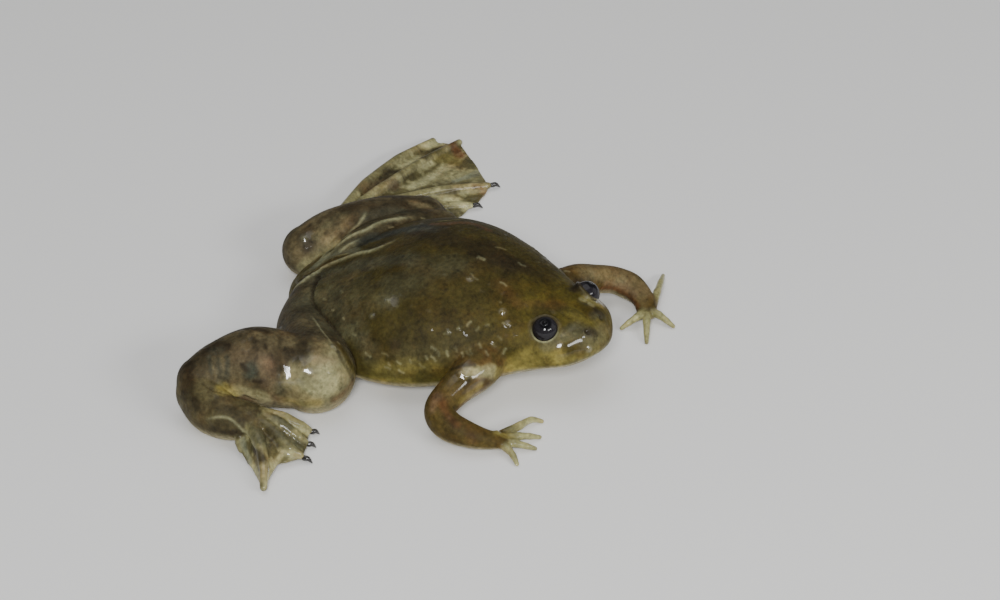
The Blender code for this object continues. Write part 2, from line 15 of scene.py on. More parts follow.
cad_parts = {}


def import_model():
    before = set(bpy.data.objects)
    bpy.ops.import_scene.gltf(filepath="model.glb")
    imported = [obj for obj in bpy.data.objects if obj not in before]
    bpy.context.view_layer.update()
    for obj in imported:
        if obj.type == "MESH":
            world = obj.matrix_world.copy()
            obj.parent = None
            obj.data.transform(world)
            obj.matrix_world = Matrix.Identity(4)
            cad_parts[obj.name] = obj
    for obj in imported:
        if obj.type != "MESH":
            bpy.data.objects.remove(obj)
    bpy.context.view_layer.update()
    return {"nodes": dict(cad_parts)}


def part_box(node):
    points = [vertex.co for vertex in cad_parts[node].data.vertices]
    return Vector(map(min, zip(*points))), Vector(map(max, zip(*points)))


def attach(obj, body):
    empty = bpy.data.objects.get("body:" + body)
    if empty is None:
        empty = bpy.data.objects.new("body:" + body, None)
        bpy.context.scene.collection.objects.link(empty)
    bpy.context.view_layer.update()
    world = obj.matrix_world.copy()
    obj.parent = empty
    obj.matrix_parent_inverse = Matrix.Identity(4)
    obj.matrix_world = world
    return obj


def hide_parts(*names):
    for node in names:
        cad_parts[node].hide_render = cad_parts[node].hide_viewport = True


MM = 0.001
SIDES = {"right": -1, "left": 1}

# The photograph's view, in the frog's frame.
VIEW_RIGHT = np.array((0.5664, -0.8241, 0.0))
VIEW_BACK = np.array((-0.6751, -0.4640, 0.5736))
VIEW_UP = np.cross(VIEW_BACK, VIEW_RIGHT)
VIEW_TARGET = np.array((10.2, -0.6, 0.0))
VIEW_DISTANCE = 450.0
PIXELS_PER_MM = 6.745
PICTURE = (1000, 600)
SENSOR = 36.0

# Smoothing of the joined skin: size of its cells, rounds, and how much less the thin parts take.
VOXEL = 0.16
SMOOTH_ROUNDS = 14
THIN_RELIEF = 0.38

# Stations along each kind of form, and points round it or across it.
DETAIL = {
    "body": (150, 160), "arm": (110, 48), "finger": (50, 20), "leg": (80, 72),
    "toe": (60, 20), "web": (81, 41), "claw": (20, 16),
}

SNOUT_Y = -25.6
BODY_LENGTH = 49.6
BODY_BEND = 7.8
BEND_POWER = 1.8
# Distance behind the snout, half width, and the levels of the belly, the sides and the back.
BODY_STATIONS = (
    (0.0, 5.0, 6.0, 7.9, 11.0), (2.6, 6.4, 5.5, 7.7, 11.8), (5.6, 7.7, 4.8, 7.2, 12.4),
    (8.6, 8.9, 3.7, 6.4, 13.0), (12.6, 11.2, 2.2, 5.7, 14.2), (17.6, 14.0, 0.9, 4.9, 15.5),
    (23.6, 16.5, -0.3, 4.3, 16.2), (29.6, 17.5, -0.6, 4.0, 15.4), (35.6, 16.6, -0.5, 4.0, 12.9),
    (41.6, 13.8, -0.3, 4.1, 9.9), (46.6, 10.2, 0.3, 4.0, 7.7), (49.6, 7.6, 0.8, 3.8, 6.6),
)
SNOUT_ROUND = 4.2
RUMP_ROUND = 6.5
BODY_FLAT_SIDES = 0.86
BODY_FLAT_BACK = 0.92

EYE_RADIUS = 1.9
EYE_CENTRE = (5.3, -18.9, 11.1)
EYE_AXIS = (0.62, -0.42, 0.66)
GAZE = (0.321, -0.221, 0.921)
ORBIT_RADIUS = 2.25
ORBIT_DEPTH = 0.8
# The lid is a ring about the eye, thicker below.
LID_RADIUS = 0.26
LID_SWELL = 0.12
LID_RISE = 0.2
LID_CLEAR = 0.1

MOUTH_CORNER = 9.4
MOUTH_CORNER_LEVEL = 5.0
MOUTH_FRONT_LEVEL = 7.0
LIP_RISE = 0.75
NOSTRIL_BACK = 1.5
NOSTRIL_ACROSS = 1.9
NOSTRIL_SHIFT = (0.1, -0.15, 0.1)
# Strokes of the face: width, lift, paleness, darkness, and the share of each end that fades; the darkness
# is painted shade in the mouth's groove and in the nostril holes.
MOUTH_STROKE = (0.28, -0.30, 0.0, 0.55, 0.08)
LIP_STROKE = (0.45, 0.12, 0.25, 0.0, 0.1)
NOSTRIL_RIM = (0.75, 0.30)
NOSTRIL_HOLE = (0.42, -0.85, 0.0, 0.95)

# Centre lines of the limbs: x, y, z, half width, half height.
ARMS = {
    "right": (
        (-9.0, -12.4, 6.8, 3.2, 3.3), (-13.5, -12.7, 6.3, 3.0, 3.0), (-17.6, -12.0, 5.2, 2.3, 2.5),
        (-20.9, -11.7, 3.7, 2.1, 2.3), (-22.2, -14.1, 2.9, 2.15, 2.2), (-21.7, -17.6, 2.3, 1.8, 1.8),
        (-20.4, -19.8, 1.7, 1.5, 1.3), (-19.0, -20.8, 1.3, 1.6, 0.9),
    ),
    "left": (
        (9.0, -11.4, 6.2, 3.0, 3.2), (13.4, -11.8, 5.6, 2.6, 2.9), (17.0, -12.8, 4.6, 2.0, 2.3),
        (19.8, -14.3, 3.5, 1.9, 2.1), (20.8, -16.6, 2.7, 2.0, 2.1), (20.4, -18.6, 2.2, 1.8, 1.6),
        (19.5, -20.0, 1.8, 1.6, 1.2), (18.6, -21.0, 1.3, 1.6, 0.9),
    ),
}
# Fingers and toes, each from its root to its tip: x, y, z.
FINGERS = {
    "right": (
        ((-17.9, -20.4, 1.4), (-15.3, -21.3, 1.5), (-12.6, -21.5, 1.0), (-11.3, -22.5, 0.35)),
        ((-18.3, -21.2, 1.3), (-17.2, -22.4, 1.4), (-15.7, -23.4, 0.9), (-14.5, -24.3, 0.35)),
        ((-18.9, -21.6, 1.2), (-18.5, -22.9, 1.2), (-17.7, -24.2, 0.8), (-17.0, -25.2, 0.35)),
        ((-19.7, -21.3, 1.2), (-20.0, -22.6, 1.1), (-20.6, -24.0, 0.8), (-21.3, -25.1, 0.35)),
    ),
    "left": (
        ((18.0, -20.8, 1.4), (16.3, -20.8, 1.5), (14.9, -20.2, 1.0), (13.9, -19.6, 0.35)),
        ((18.0, -21.4, 1.3), (16.3, -22.4, 1.4), (14.4, -23.6, 1.0), (13.0, -24.5, 0.35)),
        ((18.8, -21.6, 1.3), (18.6, -23.0, 1.4), (18.5, -24.4, 1.0), (18.6, -25.6, 0.35)),
        ((20.2, -21.0, 1.4), (22.9, -20.0, 1.6), (26.0, -18.7, 1.2), (28.7, -17.5, 0.5)),
    ),
}
FINGER_ROOT = 0.7
FINGER_TIP = 0.34
LEGS = {
    "thigh_right": (
        (-9.4, 17.2, 4.2, 4.6, 4.3), (-15.8, 15.2, 4.1, 4.4, 4.1), (-20.9, 10.8, 4.8, 4.7, 4.8),
        (-25.4, 6.6, 5.3, 5.9, 5.8),
    ),
    "thigh_left": (
        (-4.8, 17.4, 4.2, 4.2, 4.2), (1.6, 16.2, 5.4, 5.3, 5.4), (8.0, 14.2, 5.4, 5.0, 5.2),
        (12.6, 12.6, 4.8, 4.2, 4.5),
    ),
    "shank_right": (
        (-27.2, 9.4, 5.5, 5.2, 5.4), (-29.8, 13.6, 6.0, 5.4, 5.8), (-33.2, 16.8, 5.4, 4.4, 5.0),
        (-36.0, 18.4, 4.6, 3.4, 4.4),
    ),
    "shank_left": (
        (13.6, 16.2, 5.0, 4.5, 4.7), (8.8, 19.4, 5.2, 5.6, 5.5), (3.4, 24.2, 4.9, 5.0, 5.0),
        (-0.4, 26.9, 4.2, 3.9, 4.0),
    ),
    "ankle_right": (
        (-36.9, 18.2, 4.0, 3.2, 4.0), (-38.4, 15.2, 3.5, 3.1, 3.8), (-38.4, 12.0, 3.2, 3.0, 3.3),
        (-37.2, 9.2, 3.0, 3.0, 2.4),
    ),
    "ankle_left": (
        (0.0, 28.0, 3.2, 2.8, 3.0), (3.6, 29.6, 2.7, 2.5, 2.6), (7.4, 29.8, 2.2, 2.6, 2.2),
        (10.8, 29.4, 1.9, 3.0, 1.8),
    ),
}
# From the inner toe to the outer one.
TOES = {
    "right": (
        ((-35.4, 8.9, 3.4), (-34.2, 5.4, 3.2), (-33.0, 3.2, 2.0), (-31.9, 2.3, 0.8)),
        ((-36.2, 8.6, 3.7), (-35.7, 4.9, 3.4), (-35.2, 2.1, 2.0), (-34.4, 1.0, 0.8)),
        ((-37.0, 8.5, 3.7), (-37.4, 4.9, 3.4), (-37.8, 1.5, 2.0), (-37.2, -0.4, 0.8)),
        ((-37.8, 8.7, 3.5), (-39.9, 5.3, 3.4), (-42.5, 2.4, 2.2), (-46.0, -0.3, 0.7)),
        ((-38.4, 9.4, 3.0), (-39.4, 8.9, 2.4), (-40.3, 8.2, 1.6), (-41.2, 7.2, 0.8)),
    ),
    "left": (
        ((9.8, 28.0, 2.0), (14.0, 24.6, 1.8), (18.0, 20.4, 1.3), (21.0, 17.0, 0.8)),
        ((10.3, 28.4, 2.2), (17.0, 25.2, 1.9), (23.6, 20.8, 1.4), (28.0, 16.6, 0.8)),
        ((10.8, 29.0, 2.3), (19.0, 27.0, 2.0), (27.4, 22.8, 1.5), (34.3, 17.6, 0.8)),
        ((11.2, 29.7, 2.2), (20.4, 30.0, 2.0), (31.6, 29.8, 1.6), (42.2, 28.9, 0.8)),
        ((11.4, 30.4, 2.0), (21.2, 32.6, 2.0), (31.0, 33.4, 1.5), (40.2, 32.6, 0.8)),
    ),
}
TOE_ROOT = 1.05
TOE_TIP = 0.55
# Where the joints of a finger or toe are on its length, and how much they swell.
KNUCKLES = (0.36, 0.68)
KNUCKLE_WIDTH = 0.06
KNUCKLE_SWELL = 0.10
# The web: its thickness, how far it reaches along the toes, and at the middle of its margin
# between each two toes.
WEB_THICKNESS = 0.5
WEB_AT_TOE = 0.97
WEB_REACH = {"right": (0.90, 0.94, 0.74, 0.88), "left": (0.98, 1.0, 0.99, 0.96)}
# How far it sinks between two toes, as a share of the space, and the lowest that it comes.
WEB_SAG = 0.10
WEB_LOWEST = 0.4
PLEATS = 5
PLEAT_HEIGHT = 0.10

CLAWED_TOES = 3
CLAW_LENGTH = 1.3
CLAW_LEVEL = 0.42
CLAW_START = 0.1
CLAW_RADII = (0.40, 0.34, 0.09)
CLAW_DROP = 0.02
CLAW_TIP_LEVEL = 0.16

# Lamps: place from the middle of the view in metres, width, height and power.
LAMPS = (
    ("key", (-0.42, -0.25, 0.38), 0.13, 0.13, 2.7),
    ("top", (0.05, 0.12, 0.70), 0.7, 0.7, 1.7),
    ("fill", (0.45, -0.55, 0.30), 0.5, 0.5, 0.5),
    ("front", (-0.105, -0.535, 0.295), 0.34, 0.10, 1.5),
)

# Marks on the skin are drawn in the photograph's pixels, as seen from its view. Rows of folds,
# creases, washes and film end with x and y of each point of their line.
# Folds: width, height and paleness; the paleness is partly the folds' own pale skin and partly painted
# highlight along their ridges.
FOLDS = (
    (0.5, 0.2, 0.62, 292, 290, 303, 283, 320, 268, 345, 259, 360, 252, 372, 252, 400, 238),
    (0.44, 0.17, 0.54, 317, 263, 333, 250, 352, 235, 368, 230, 375, 224, 390, 220, 418, 217),
    (0.26, 0.1, 0.38, 346, 236, 354, 229, 361, 221, 368, 211),
    (0.4, 0.13, 0.46, 318, 262, 328, 252, 340, 240, 354, 234),
    (0.22, 0.08, 0.26, 325, 262, 335, 256, 353, 253),
    (0.2, 0.08, 0.28, 433, 222, 445, 221, 455, 220, 467, 219),
    (0.24, 0.09, 0.26, 330, 262, 340, 250, 350, 244, 362, 238),
    (0.17, 0.07, 0.3, 311, 315, 318, 325, 326, 337, 334, 347),
    (0.2, 0.12, 0.4, 203, 420, 225, 415, 238, 425, 248, 438, 263, 453),
)
# Creases: width, depth and darkness; the darkness is painted shade in the crease.
CREASES = (
    (0.26, 0.3, 0.6, 198, 379, 208, 387, 222, 393, 238, 397, 262, 402),
    (0.4, 0.2, 0.45, 281, 330, 279, 350, 278, 368, 281, 382),
    (0.3, 0.2, 0.3, 310, 268, 322, 255, 336, 240, 350, 226),
    (0.3, 0.15, 0.25, 300, 277, 318, 266, 340, 250, 360, 242),
    (0.3, 0.1, 0.3, 298, 292, 316, 279, 340, 270),
)
# Washes of colour, each over those before it: tone, strength and reach in pixels.
WASHES = (
    # The two bluish-grey washes and the mist wash after them are a painted sheen on the top of the back.
    ("painted_sheen", 0.85, 12, 352, 246, 378, 237, 402, 230, 425, 227), ("painted_sheen", 0.5, 9, 412, 231, 435, 229),
    ("mist", 0.35, 5, 412, 230, 424, 229, 433, 230),
    ("rust", 0.5, 5, 432, 224, 450, 224, 470, 222, 488, 230),
    ("rust", 0.2, 7, 520, 305, 540, 303, 562, 306), ("rust", 0.18, 9, 500, 285, 512, 300),
    # Of the next three dusk washes, the first two darken the back and the head towards their far edge, and
    # the weak third is painted shade in the hip crease.
    ("dusk", 0.6, 20, 420, 232, 450, 238, 480, 250, 510, 264),
    ("dusk", 0.5, 14, 500, 258, 525, 268, 548, 278), ("dusk", 0.15, 9, 310, 315, 322, 330, 336, 342),
    ("straw", 0.45, 12, 513, 366, 535, 360, 556, 356), ("straw", 0.35, 7, 560, 362, 580, 357, 596, 350),
    ("straw", 0.3, 8, 375, 381, 400, 384, 425, 385), ("straw", 0.3, 9, 380, 366, 405, 366, 430, 366),
    ("sage", 0.2, 12, 400, 355, 425, 352, 450, 352, 472, 350),
    ("moss", 0.6, 26, 312, 296, 328, 306, 342, 322, 352, 340),
    ("sage", 0.75, 10, 310, 269, 322, 260, 338, 252, 352, 247),
    ("mist", 0.45, 7, 314, 266, 326, 257, 342, 252, 356, 250),
    ("sage", 0.3, 18, 346, 280, 362, 288, 380, 300),
    ("moss", 0.65, 14, 322, 276, 350, 267, 380, 262, 415, 260),
    ("moss", 0.4, 24, 395, 285, 420, 275, 450, 264), ("sage", 0.3, 14, 350, 332, 362, 346, 372, 356),
    ("sage", 0.35, 8, 308, 290, 318, 296, 332, 300), ("straw", 0.18, 10, 570, 312, 580, 316, 586, 322),
    # The dusk wash just above the near eye is painted shade.
    ("dusk", 0.3, 8, 536, 310, 546, 307, 558, 308), ("straw", 0.25, 7, 346, 366, 360, 374),
    ("ash", 0.6, 9, 572, 331, 582, 330, 590, 334), ("ash", 0.5, 5, 596, 313, 604, 318),
    ("dusk", 0.9, 7, 574, 289, 580, 285, 588, 282), ("sage", 0.5, 12, 586, 344, 598, 340, 604, 330),
    # The two sage washes under the near eye are a painted highlight on its lower lid.
    ("sage", 0.6, 6, 560, 336, 554, 343, 545, 347), ("sage", 0.5, 5, 566, 338, 574, 337),
    # The dusk washes on the nostrils are painted shade in their openings. Under the far eye, the straw
    # crescent is its lid's golden colour with painted sheen, and the two cream flecks are painted
    # highlights.
    ("ash", 0.5, 6, 592, 316, 600, 314), ("dusk", 0.75, 6, 589, 333, 594, 333),
    ("dusk", 0.7, 5, 597, 311, 602, 314), ("straw", 0.6, 5, 584, 299, 591, 303, 600, 305),
    ("cream", 0.4, 3, 582, 299, 584, 300), ("cream", 0.4, 3, 590, 304, 592, 305),
    ("dusk", 0.2, 12, 284, 328, 296, 326, 306, 330), ("dusk", 0.55, 8, 288, 355, 298, 356, 307, 360),
    ("dusk", 0.4, 7, 294, 332, 304, 340, 312, 348),
    ("cream", 0.4, 25, 332, 371, 328, 382, 316, 390, 302, 391),
    ("cream", 0.45, 14, 332, 365, 335, 376, 326, 387, 312, 394, 300, 396),
    ("pink", 0.35, 7, 320, 360, 334, 360), ("dusk", 0.12, 10, 298, 350, 310, 347, 322, 347),
    ("sage", 0.4, 9, 322, 346, 332, 350, 338, 358), ("straw", 0.5, 8, 284, 403, 300, 405, 318, 404),
    ("rust", 0.35, 6, 334, 400, 346, 392, 352, 384), ("ash", 0.45, 8, 272, 382, 282, 390, 294, 394),
    ("pink", 0.14, 12, 238, 354, 252, 356, 268, 357), ("tan", 0.6, 9, 244, 388, 256, 392, 270, 398),
    ("cream", 0.5, 7, 248, 392, 260, 395), ("tan", 0.45, 7, 264, 366, 270, 376, 272, 388),
    ("pink", 0.4, 10, 244, 396, 258, 400, 276, 402), ("pink", 0.25, 9, 268, 362, 270, 374, 266, 384),
    ("straw", 0.7, 6, 222, 389, 230, 391, 238, 393), ("tan", 0.3, 9, 236, 374, 234, 384, 246, 390),
    ("dusk", 0.45, 14, 184, 368, 186, 385, 190, 402), ("dusk", 0.35, 16, 205, 355, 222, 345, 240, 338),
    ("dusk", 0.3, 12, 262, 425, 268, 440, 280, 446),
    ("tan", 0.45, 14, 585, 272, 606, 271, 626, 278, 640, 290),
    ("pink", 0.35, 5, 606, 284, 622, 287, 634, 297),
    ("rust", 0.65, 3.5, 602, 288, 616, 290, 628, 296, 637, 306),
    # The dusk wash at the root of the far arm is painted shade.
    ("cream", 0.12, 7, 594, 275, 606, 274, 620, 279), ("dusk", 0.5, 8, 560, 271, 568, 275, 576, 279),
    ("dusk", 0.35, 9, 440, 404, 450, 418, 466, 430, 480, 436),
    ("tan", 0.6, 7, 476, 388, 468, 398, 464, 408, 476, 420),
    ("straw", 0.6, 5, 496, 433, 503, 435, 510, 437), ("back", 0.9, 10, 350, 344, 355, 356, 360, 370),
    ("back", 0.9, 5, 340, 346, 346, 356, 351, 366, 356, 376),
    # A dusk line of painted shade in the crease between the near thigh and the body.
    ("dusk", 0.5, 3, 334, 346, 340, 357, 346, 368, 353, 379),
    ("dusk", 0.8, 5, 232, 332, 244, 329, 256, 329, 266, 332),
    ("dusk", 0.75, 7, 205, 352, 214, 346, 226, 346), ("ash", 0.4, 5, 212, 350, 220, 350),
    ("dusk", 0.85, 3.5, 265, 345, 266, 348), ("dusk", 0.6, 3.5, 255, 346, 256, 349),
    ("dusk", 0.6, 3, 253, 338, 255, 342), ("mould", 0.85, 7, 250, 368, 251, 376),
    ("dusk", 0.8, 3.5, 242, 365, 246, 370), ("dusk", 0.8, 3, 254, 381, 260, 382),
    ("mould", 0.45, 3, 209, 357, 211, 366, 212, 372), ("tan", 0.35, 3, 214, 360, 215, 370, 218, 380),
    ("tan", 0.3, 3, 223, 358, 223, 366, 222, 374), ("tan", 0.35, 3.5, 231, 364, 231, 374, 233, 384),
    ("mould", 0.4, 3.5, 218, 361, 220, 370, 220, 382), ("mould", 0.5, 3, 227, 357, 228, 366, 227, 377),
    ("dusk", 0.7, 6, 190, 366, 188, 378, 192, 388), ("dusk", 0.6, 5, 194, 399, 197, 405),
    ("dusk", 0.5, 6, 184, 384, 184, 396), ("dusk", 0.3, 6, 206, 406, 220, 406, 232, 409),
    ("cream", 0.5, 8, 238, 391, 250, 395, 264, 400), ("straw", 0.4, 7, 222, 391, 232, 394),
    # The first dusk wash here, under the rim of the near ankle, is painted shade on its underside.
    ("dusk", 0.75, 6, 214, 430, 226, 432, 238, 434), ("dusk", 0.6, 6, 270, 434, 273, 443),
    ("ash", 0.65, 6, 276, 416, 284, 422, 290, 427), ("dusk", 0.5, 4, 298, 441, 305, 444),
    ("cream", 0.6, 5, 282, 452, 296, 456, 310, 457), ("cream", 0.6, 4, 296, 428, 306, 433, 314, 437),
    # The dusk wash in the hollow of the near foot is painted shade.
    ("dusk", 0.75, 5, 255, 449, 262, 458), ("cream", 0.7, 3.5, 246, 452, 252, 466, 262, 490),
    ("cream", 0.7, 3.5, 280, 456, 272, 470, 264, 488), ("tan", 0.65, 13, 294, 254, 300, 262, 312, 262),
    ("cream", 0.55, 9, 303, 268, 312, 262, 322, 252, 333, 243),
    ("sage", 0.6, 9, 318, 236, 330, 226, 342, 216), ("tan", 0.45, 10, 318, 250, 330, 238, 342, 222),
    ("dusk", 0.45, 16, 340, 208, 365, 204, 395, 204), ("ash", 0.5, 9, 365, 216, 385, 210, 400, 212),
    ("dusk", 0.6, 7, 302, 237, 311, 242, 306, 249), ("dusk", 0.5, 6, 320, 220, 330, 214, 336, 222),
    ("dusk", 0.6, 6, 350, 203, 380, 197, 410, 198, 436, 204), ("dusk", 0.4, 6, 372, 208, 384, 206),
    ("tan", 0.55, 6, 412, 202, 422, 206, 431, 209),
    ("tan", 0.3, 4, 300, 229, 309, 223, 330, 211, 352, 202, 388, 198),
    ("pink", 0.35, 9, 366, 190, 374, 184, 384, 180, 394, 184),
    ("dusk", 0.45, 9, 362, 190, 374, 180, 388, 172), ("dusk", 0.5, 6, 392, 188, 400, 182, 412, 176),
    ("dusk", 0.6, 6, 384, 172, 394, 170, 402, 174), ("cream", 0.85, 8, 403, 166, 410, 162, 418, 158),
    ("dusk", 0.7, 8, 424, 157, 434, 152, 442, 156),
    ("cream", 0.85, 7, 410, 187, 422, 182, 436, 174, 446, 168), ("cream", 0.6, 5, 424, 168, 432, 163),
    ("rust", 0.75, 7, 448, 144, 456, 148, 460, 156), ("dusk", 0.5, 5, 462, 144, 468, 154, 474, 160),
    ("cream", 0.8, 6, 426, 147, 434, 144, 442, 143), ("cream", 0.45, 14, 446, 178, 462, 176, 480, 176),
    ("mist", 0.6, 5, 455, 181, 468, 177, 478, 173),
    ("cream", 0.95, 9, 438, 196, 450, 200, 462, 202, 474, 206),
    ("straw", 0.35, 9, 436, 157, 448, 158, 458, 162), ("cream", 0.45, 6, 462, 192, 474, 190, 484, 188),
    ("dusk", 0.6, 3, 436, 194, 446, 193, 458, 191), ("rust", 0.5, 4, 474, 186, 482, 188),
    ("pink", 0.4, 5, 484, 192, 494, 191), ("pink", 0.5, 6, 462, 371, 474, 372, 480, 378),
    ("pink", 0.4, 6, 436, 396, 432, 410), ("rust", 0.5, 6, 442, 404, 448, 416, 456, 424),
    ("cream", 0.55, 7, 468, 371, 480, 372, 492, 372), ("straw", 0.6, 6, 498, 373, 512, 371, 530, 368),
    # The two short dusk lines at the root of the near arm are painted shade in its creases.
    ("straw", 0.45, 5, 480, 385, 471, 394, 462, 401), ("dusk", 0.7, 3, 452, 369, 462, 366, 474, 365),
    ("dusk", 0.6, 2.5, 469, 378, 467, 384), ("dusk", 0.35, 9, 252, 420, 262, 426, 272, 432),
    ("moss", 0.7, 10, 286, 436, 294, 442, 300, 448), ("moss", 0.6, 8, 256, 432, 262, 440, 268, 446),
    ("mist", 0.6, 4, 243, 442, 246, 452, 250, 462),
)
# Dark spots, on both sides: x, y and reach in pixels.
SPOTS = (
    (440, 249, 4), (427, 284, 4), (430, 297, 3), (445, 290, 4), (410, 313, 4), (376, 286, 5), (375, 317, 5),
    (336, 299, 5), (469, 254, 3), (492, 243, 5), (503, 262, 3), (402, 265, 4), (365, 270, 6), (393, 300, 3),
    (420, 330, 4), (352, 322, 4), (395, 345, 5), (455, 310, 4),
)
SPOT_STRENGTH = 0.45
# Stitches of the sense organs, on both sides: start and end of each.
STITCHES = (
    (476, 258, 486, 260), (471, 273, 479, 280), (499, 282, 507, 287), (500, 301, 502, 303),
    (501, 311, 504, 313), (502, 322, 510, 325), (485, 326, 490, 325), (456, 329, 460, 327),
    (443, 335, 450, 332), (386, 299, 390, 302), (467, 327, 472, 321), (475, 331, 479, 326),
    (340, 291, 343, 293), (323, 298, 327, 300), (331, 310, 334, 311), (343, 317, 345, 320),
    (352, 334, 356, 336), (337, 341, 340, 344), (437, 351, 439, 357), (447, 350, 449, 357),
    (461, 352, 463, 358), (470, 348, 473, 355), (478, 343, 481, 349), (493, 342, 496, 348),
    (503, 355, 507, 348), (426, 355, 428, 360), (409, 359, 411, 364), (388, 362, 391, 366),
    (381, 353, 389, 357), (396, 360, 402, 364), (430, 347, 436, 351), (466, 350, 471, 356),
    (430, 356, 436, 362), (419, 363, 426, 368), (384, 367, 391, 370), (398, 369, 405, 373),
    (454, 347, 457, 353), (486, 350, 489, 356), (497, 336, 502, 341), (365, 352, 372, 357),
)
STITCH_WIDTH = 0.19
STITCH_LIFT = 0.05
STITCH_BOW = 0.22
STITCH_PALE = (0.26, 0.16, 0.22, 0.13, 0.25)
STITCH_FADE = 0.1
# Small wet bumps: x, y, height and width; each is also painted paler, a painted highlight where its glint
# falls.
BUMPS = (
    (287, 381, 0.3, 0.85), (300, 370, 0.26, 1.3), (461, 373, 0.3, 0.5), (467, 376, 0.26, 0.45),
    (304, 238, 0.28, 0.5), (388, 301, 0.3, 0.45), (588, 298, 0.18, 0.35), (594, 302, 0.16, 0.32),
    (497, 432, 0.24, 0.42), (448, 332, 0.18, 0.35), (503, 312, 0.2, 0.4), (508, 324, 0.18, 0.38),
    (334, 347, 0.22, 0.4), (589, 349, 0.18, 0.4), (470, 279, 0.16, 0.36), (372, 316, 0.16, 0.36),
)
BUMP_PAINTED_HIGHLIGHT = 0.2
# Places where the wet film is thickest: reach in pixels.
FILM = (
    (12, 566, 347, 575, 343, 584, 339), (10, 588, 302, 598, 300), (18, 463, 374, 472, 380),
    (9, 302, 375, 307, 370, 312, 364), (6, 287, 379, 287, 382), (9, 303, 240, 307, 238),
    (6, 416, 188, 421, 184), (7, 427, 180, 433, 175, 440, 170), (4, 424, 167, 431, 164),
    (5, 455, 181, 468, 177, 476, 174), (8, 266, 470, 272, 462), (8, 388, 301, 391, 303),
)
# Thickness of the film on webs and toes, on fingers and lids, in its drops and on the lips.
FOOT_FILM = 0.4
HAND_FILM = 0.5
DROP_FILM = 0.28
LIP_FILM = 0.6
# The crease between thigh and body, and how strong it is on the left; the crease is also darkened there as
# painted shade.
SEAM_DEPTH = 0.22
FAR_SEAM = 0.3
# Rounds of smoothing for the lines on the skin, and for the borders between tones.
LINE_ROUNDS = 6
BLEND_ROUNDS = 30

# Tones of the skin. The bluish-grey tone washed over the back is a painted sheen, and the darkest tone,
# dusk, serves both for the skin's dark markings and for painted shade.
TONES = {
    "head": (0.06, 0.0475, 0.0085), "back": (0.0445, 0.0355, 0.009), "flank": (0.08, 0.07, 0.0135),
    "belly": (0.36, 0.32, 0.19), "arm": (0.07, 0.05, 0.014), "finger": (0.3, 0.285, 0.125),
    "thigh": (0.062, 0.052, 0.026), "shank": (0.066, 0.054, 0.027), "ankle": (0.07, 0.059, 0.026),
    "toe": (0.19, 0.174, 0.078), "web": (0.09, 0.08, 0.032), "lid": (0.075, 0.063, 0.026),
    "pale": (0.375, 0.375, 0.21), "painted_sheen": (0.034, 0.039, 0.031), "mist": (0.15, 0.165, 0.11),
    "rust": (0.105, 0.045, 0.018), "dusk": (0.021, 0.015, 0.008), "straw": (0.27, 0.225, 0.06),
    "ash": (0.045, 0.046, 0.03), "cream": (0.385, 0.365, 0.18), "pink": (0.185, 0.118, 0.07),
    "tan": (0.155, 0.124, 0.062), "mould": (0.04, 0.045, 0.03), "sage": (0.12, 0.11, 0.054),
    "moss": (0.062, 0.062, 0.036),
}
# Whole numbers that scatter the corners of the noise.
GRAIN_KEYS = np.array((7919, 104729, 1299709))
GRAIN_STEP = 15485
GRAIN_TURN = 65521


def row_at(rows, where):
    """Rows of the table at fractional indices, on a curve through all of its rows."""
    rows = np.asarray(rows, float)
    last = len(rows) - 1
    index = np.clip(np.floor(where).astype(int), 0, last - 1)
    t = (where - index)[:, None]
    a = rows[np.maximum(index - 1, 0)]
    b = rows[index]
    c = rows[index + 1]
    d = rows[np.minimum(index + 2, last)]
    bend = (2 * a - 5 * b + 4 * c - d) * t + (3 * b - a - 3 * c + d) * t * t
    return b + 0.5 * t * (c - a + bend)


def signed_power(value, power):
    return np.sign(value) * np.abs(value) ** power


def unit(vectors):
    return vectors / np.maximum(np.linalg.norm(vectors, axis=-1, keepdims=True), 1e-9)


def turns(count):
    """Angles of so many even steps round a circle."""
    return 2 * np.pi * np.arange(count) / count


def eye_at(sign):
    """Centre and outward direction of the eye on this side."""
    flip = np.array((sign, 1, 1))
    return EYE_CENTRE * flip, unit(EYE_AXIS * flip)


def body_frame(distance):
    """Rows, centre, direction to the left and end shrink of the body behind the snout."""
    places = np.array([row[0] for row in BODY_STATIONS])
    index = np.clip(np.searchsorted(places, distance, side="left") - 1, 0, len(places) - 2)
    step = (distance - places[index]) / (places[index + 1] - places[index])
    rows = row_at(BODY_STATIONS, index + step)[:, 1:]
    share = distance / BODY_LENGTH
    centre = np.stack((-BODY_BEND * share**BEND_POWER, SNOUT_Y + distance, 0 * share), axis=1)
    slope = -BEND_POWER * BODY_BEND / BODY_LENGTH * share ** (BEND_POWER - 1)
    left = unit(np.stack((np.ones_like(slope), -slope, 0 * slope), axis=1))
    ends = np.minimum(distance / SNOUT_ROUND, (BODY_LENGTH - distance) / RUMP_ROUND)
    shrink = np.sqrt(1 - (1 - np.clip(ends, 0, 1)) ** 2)
    return rows, centre, left, shrink


def ring_faces(here, after, count):
    """Faces between two rings of corners."""
    steps = [(index, (index + 1) % count) for index in range(count)]
    return [(here + a, here + b, after + b, after + a) for a, b in steps]


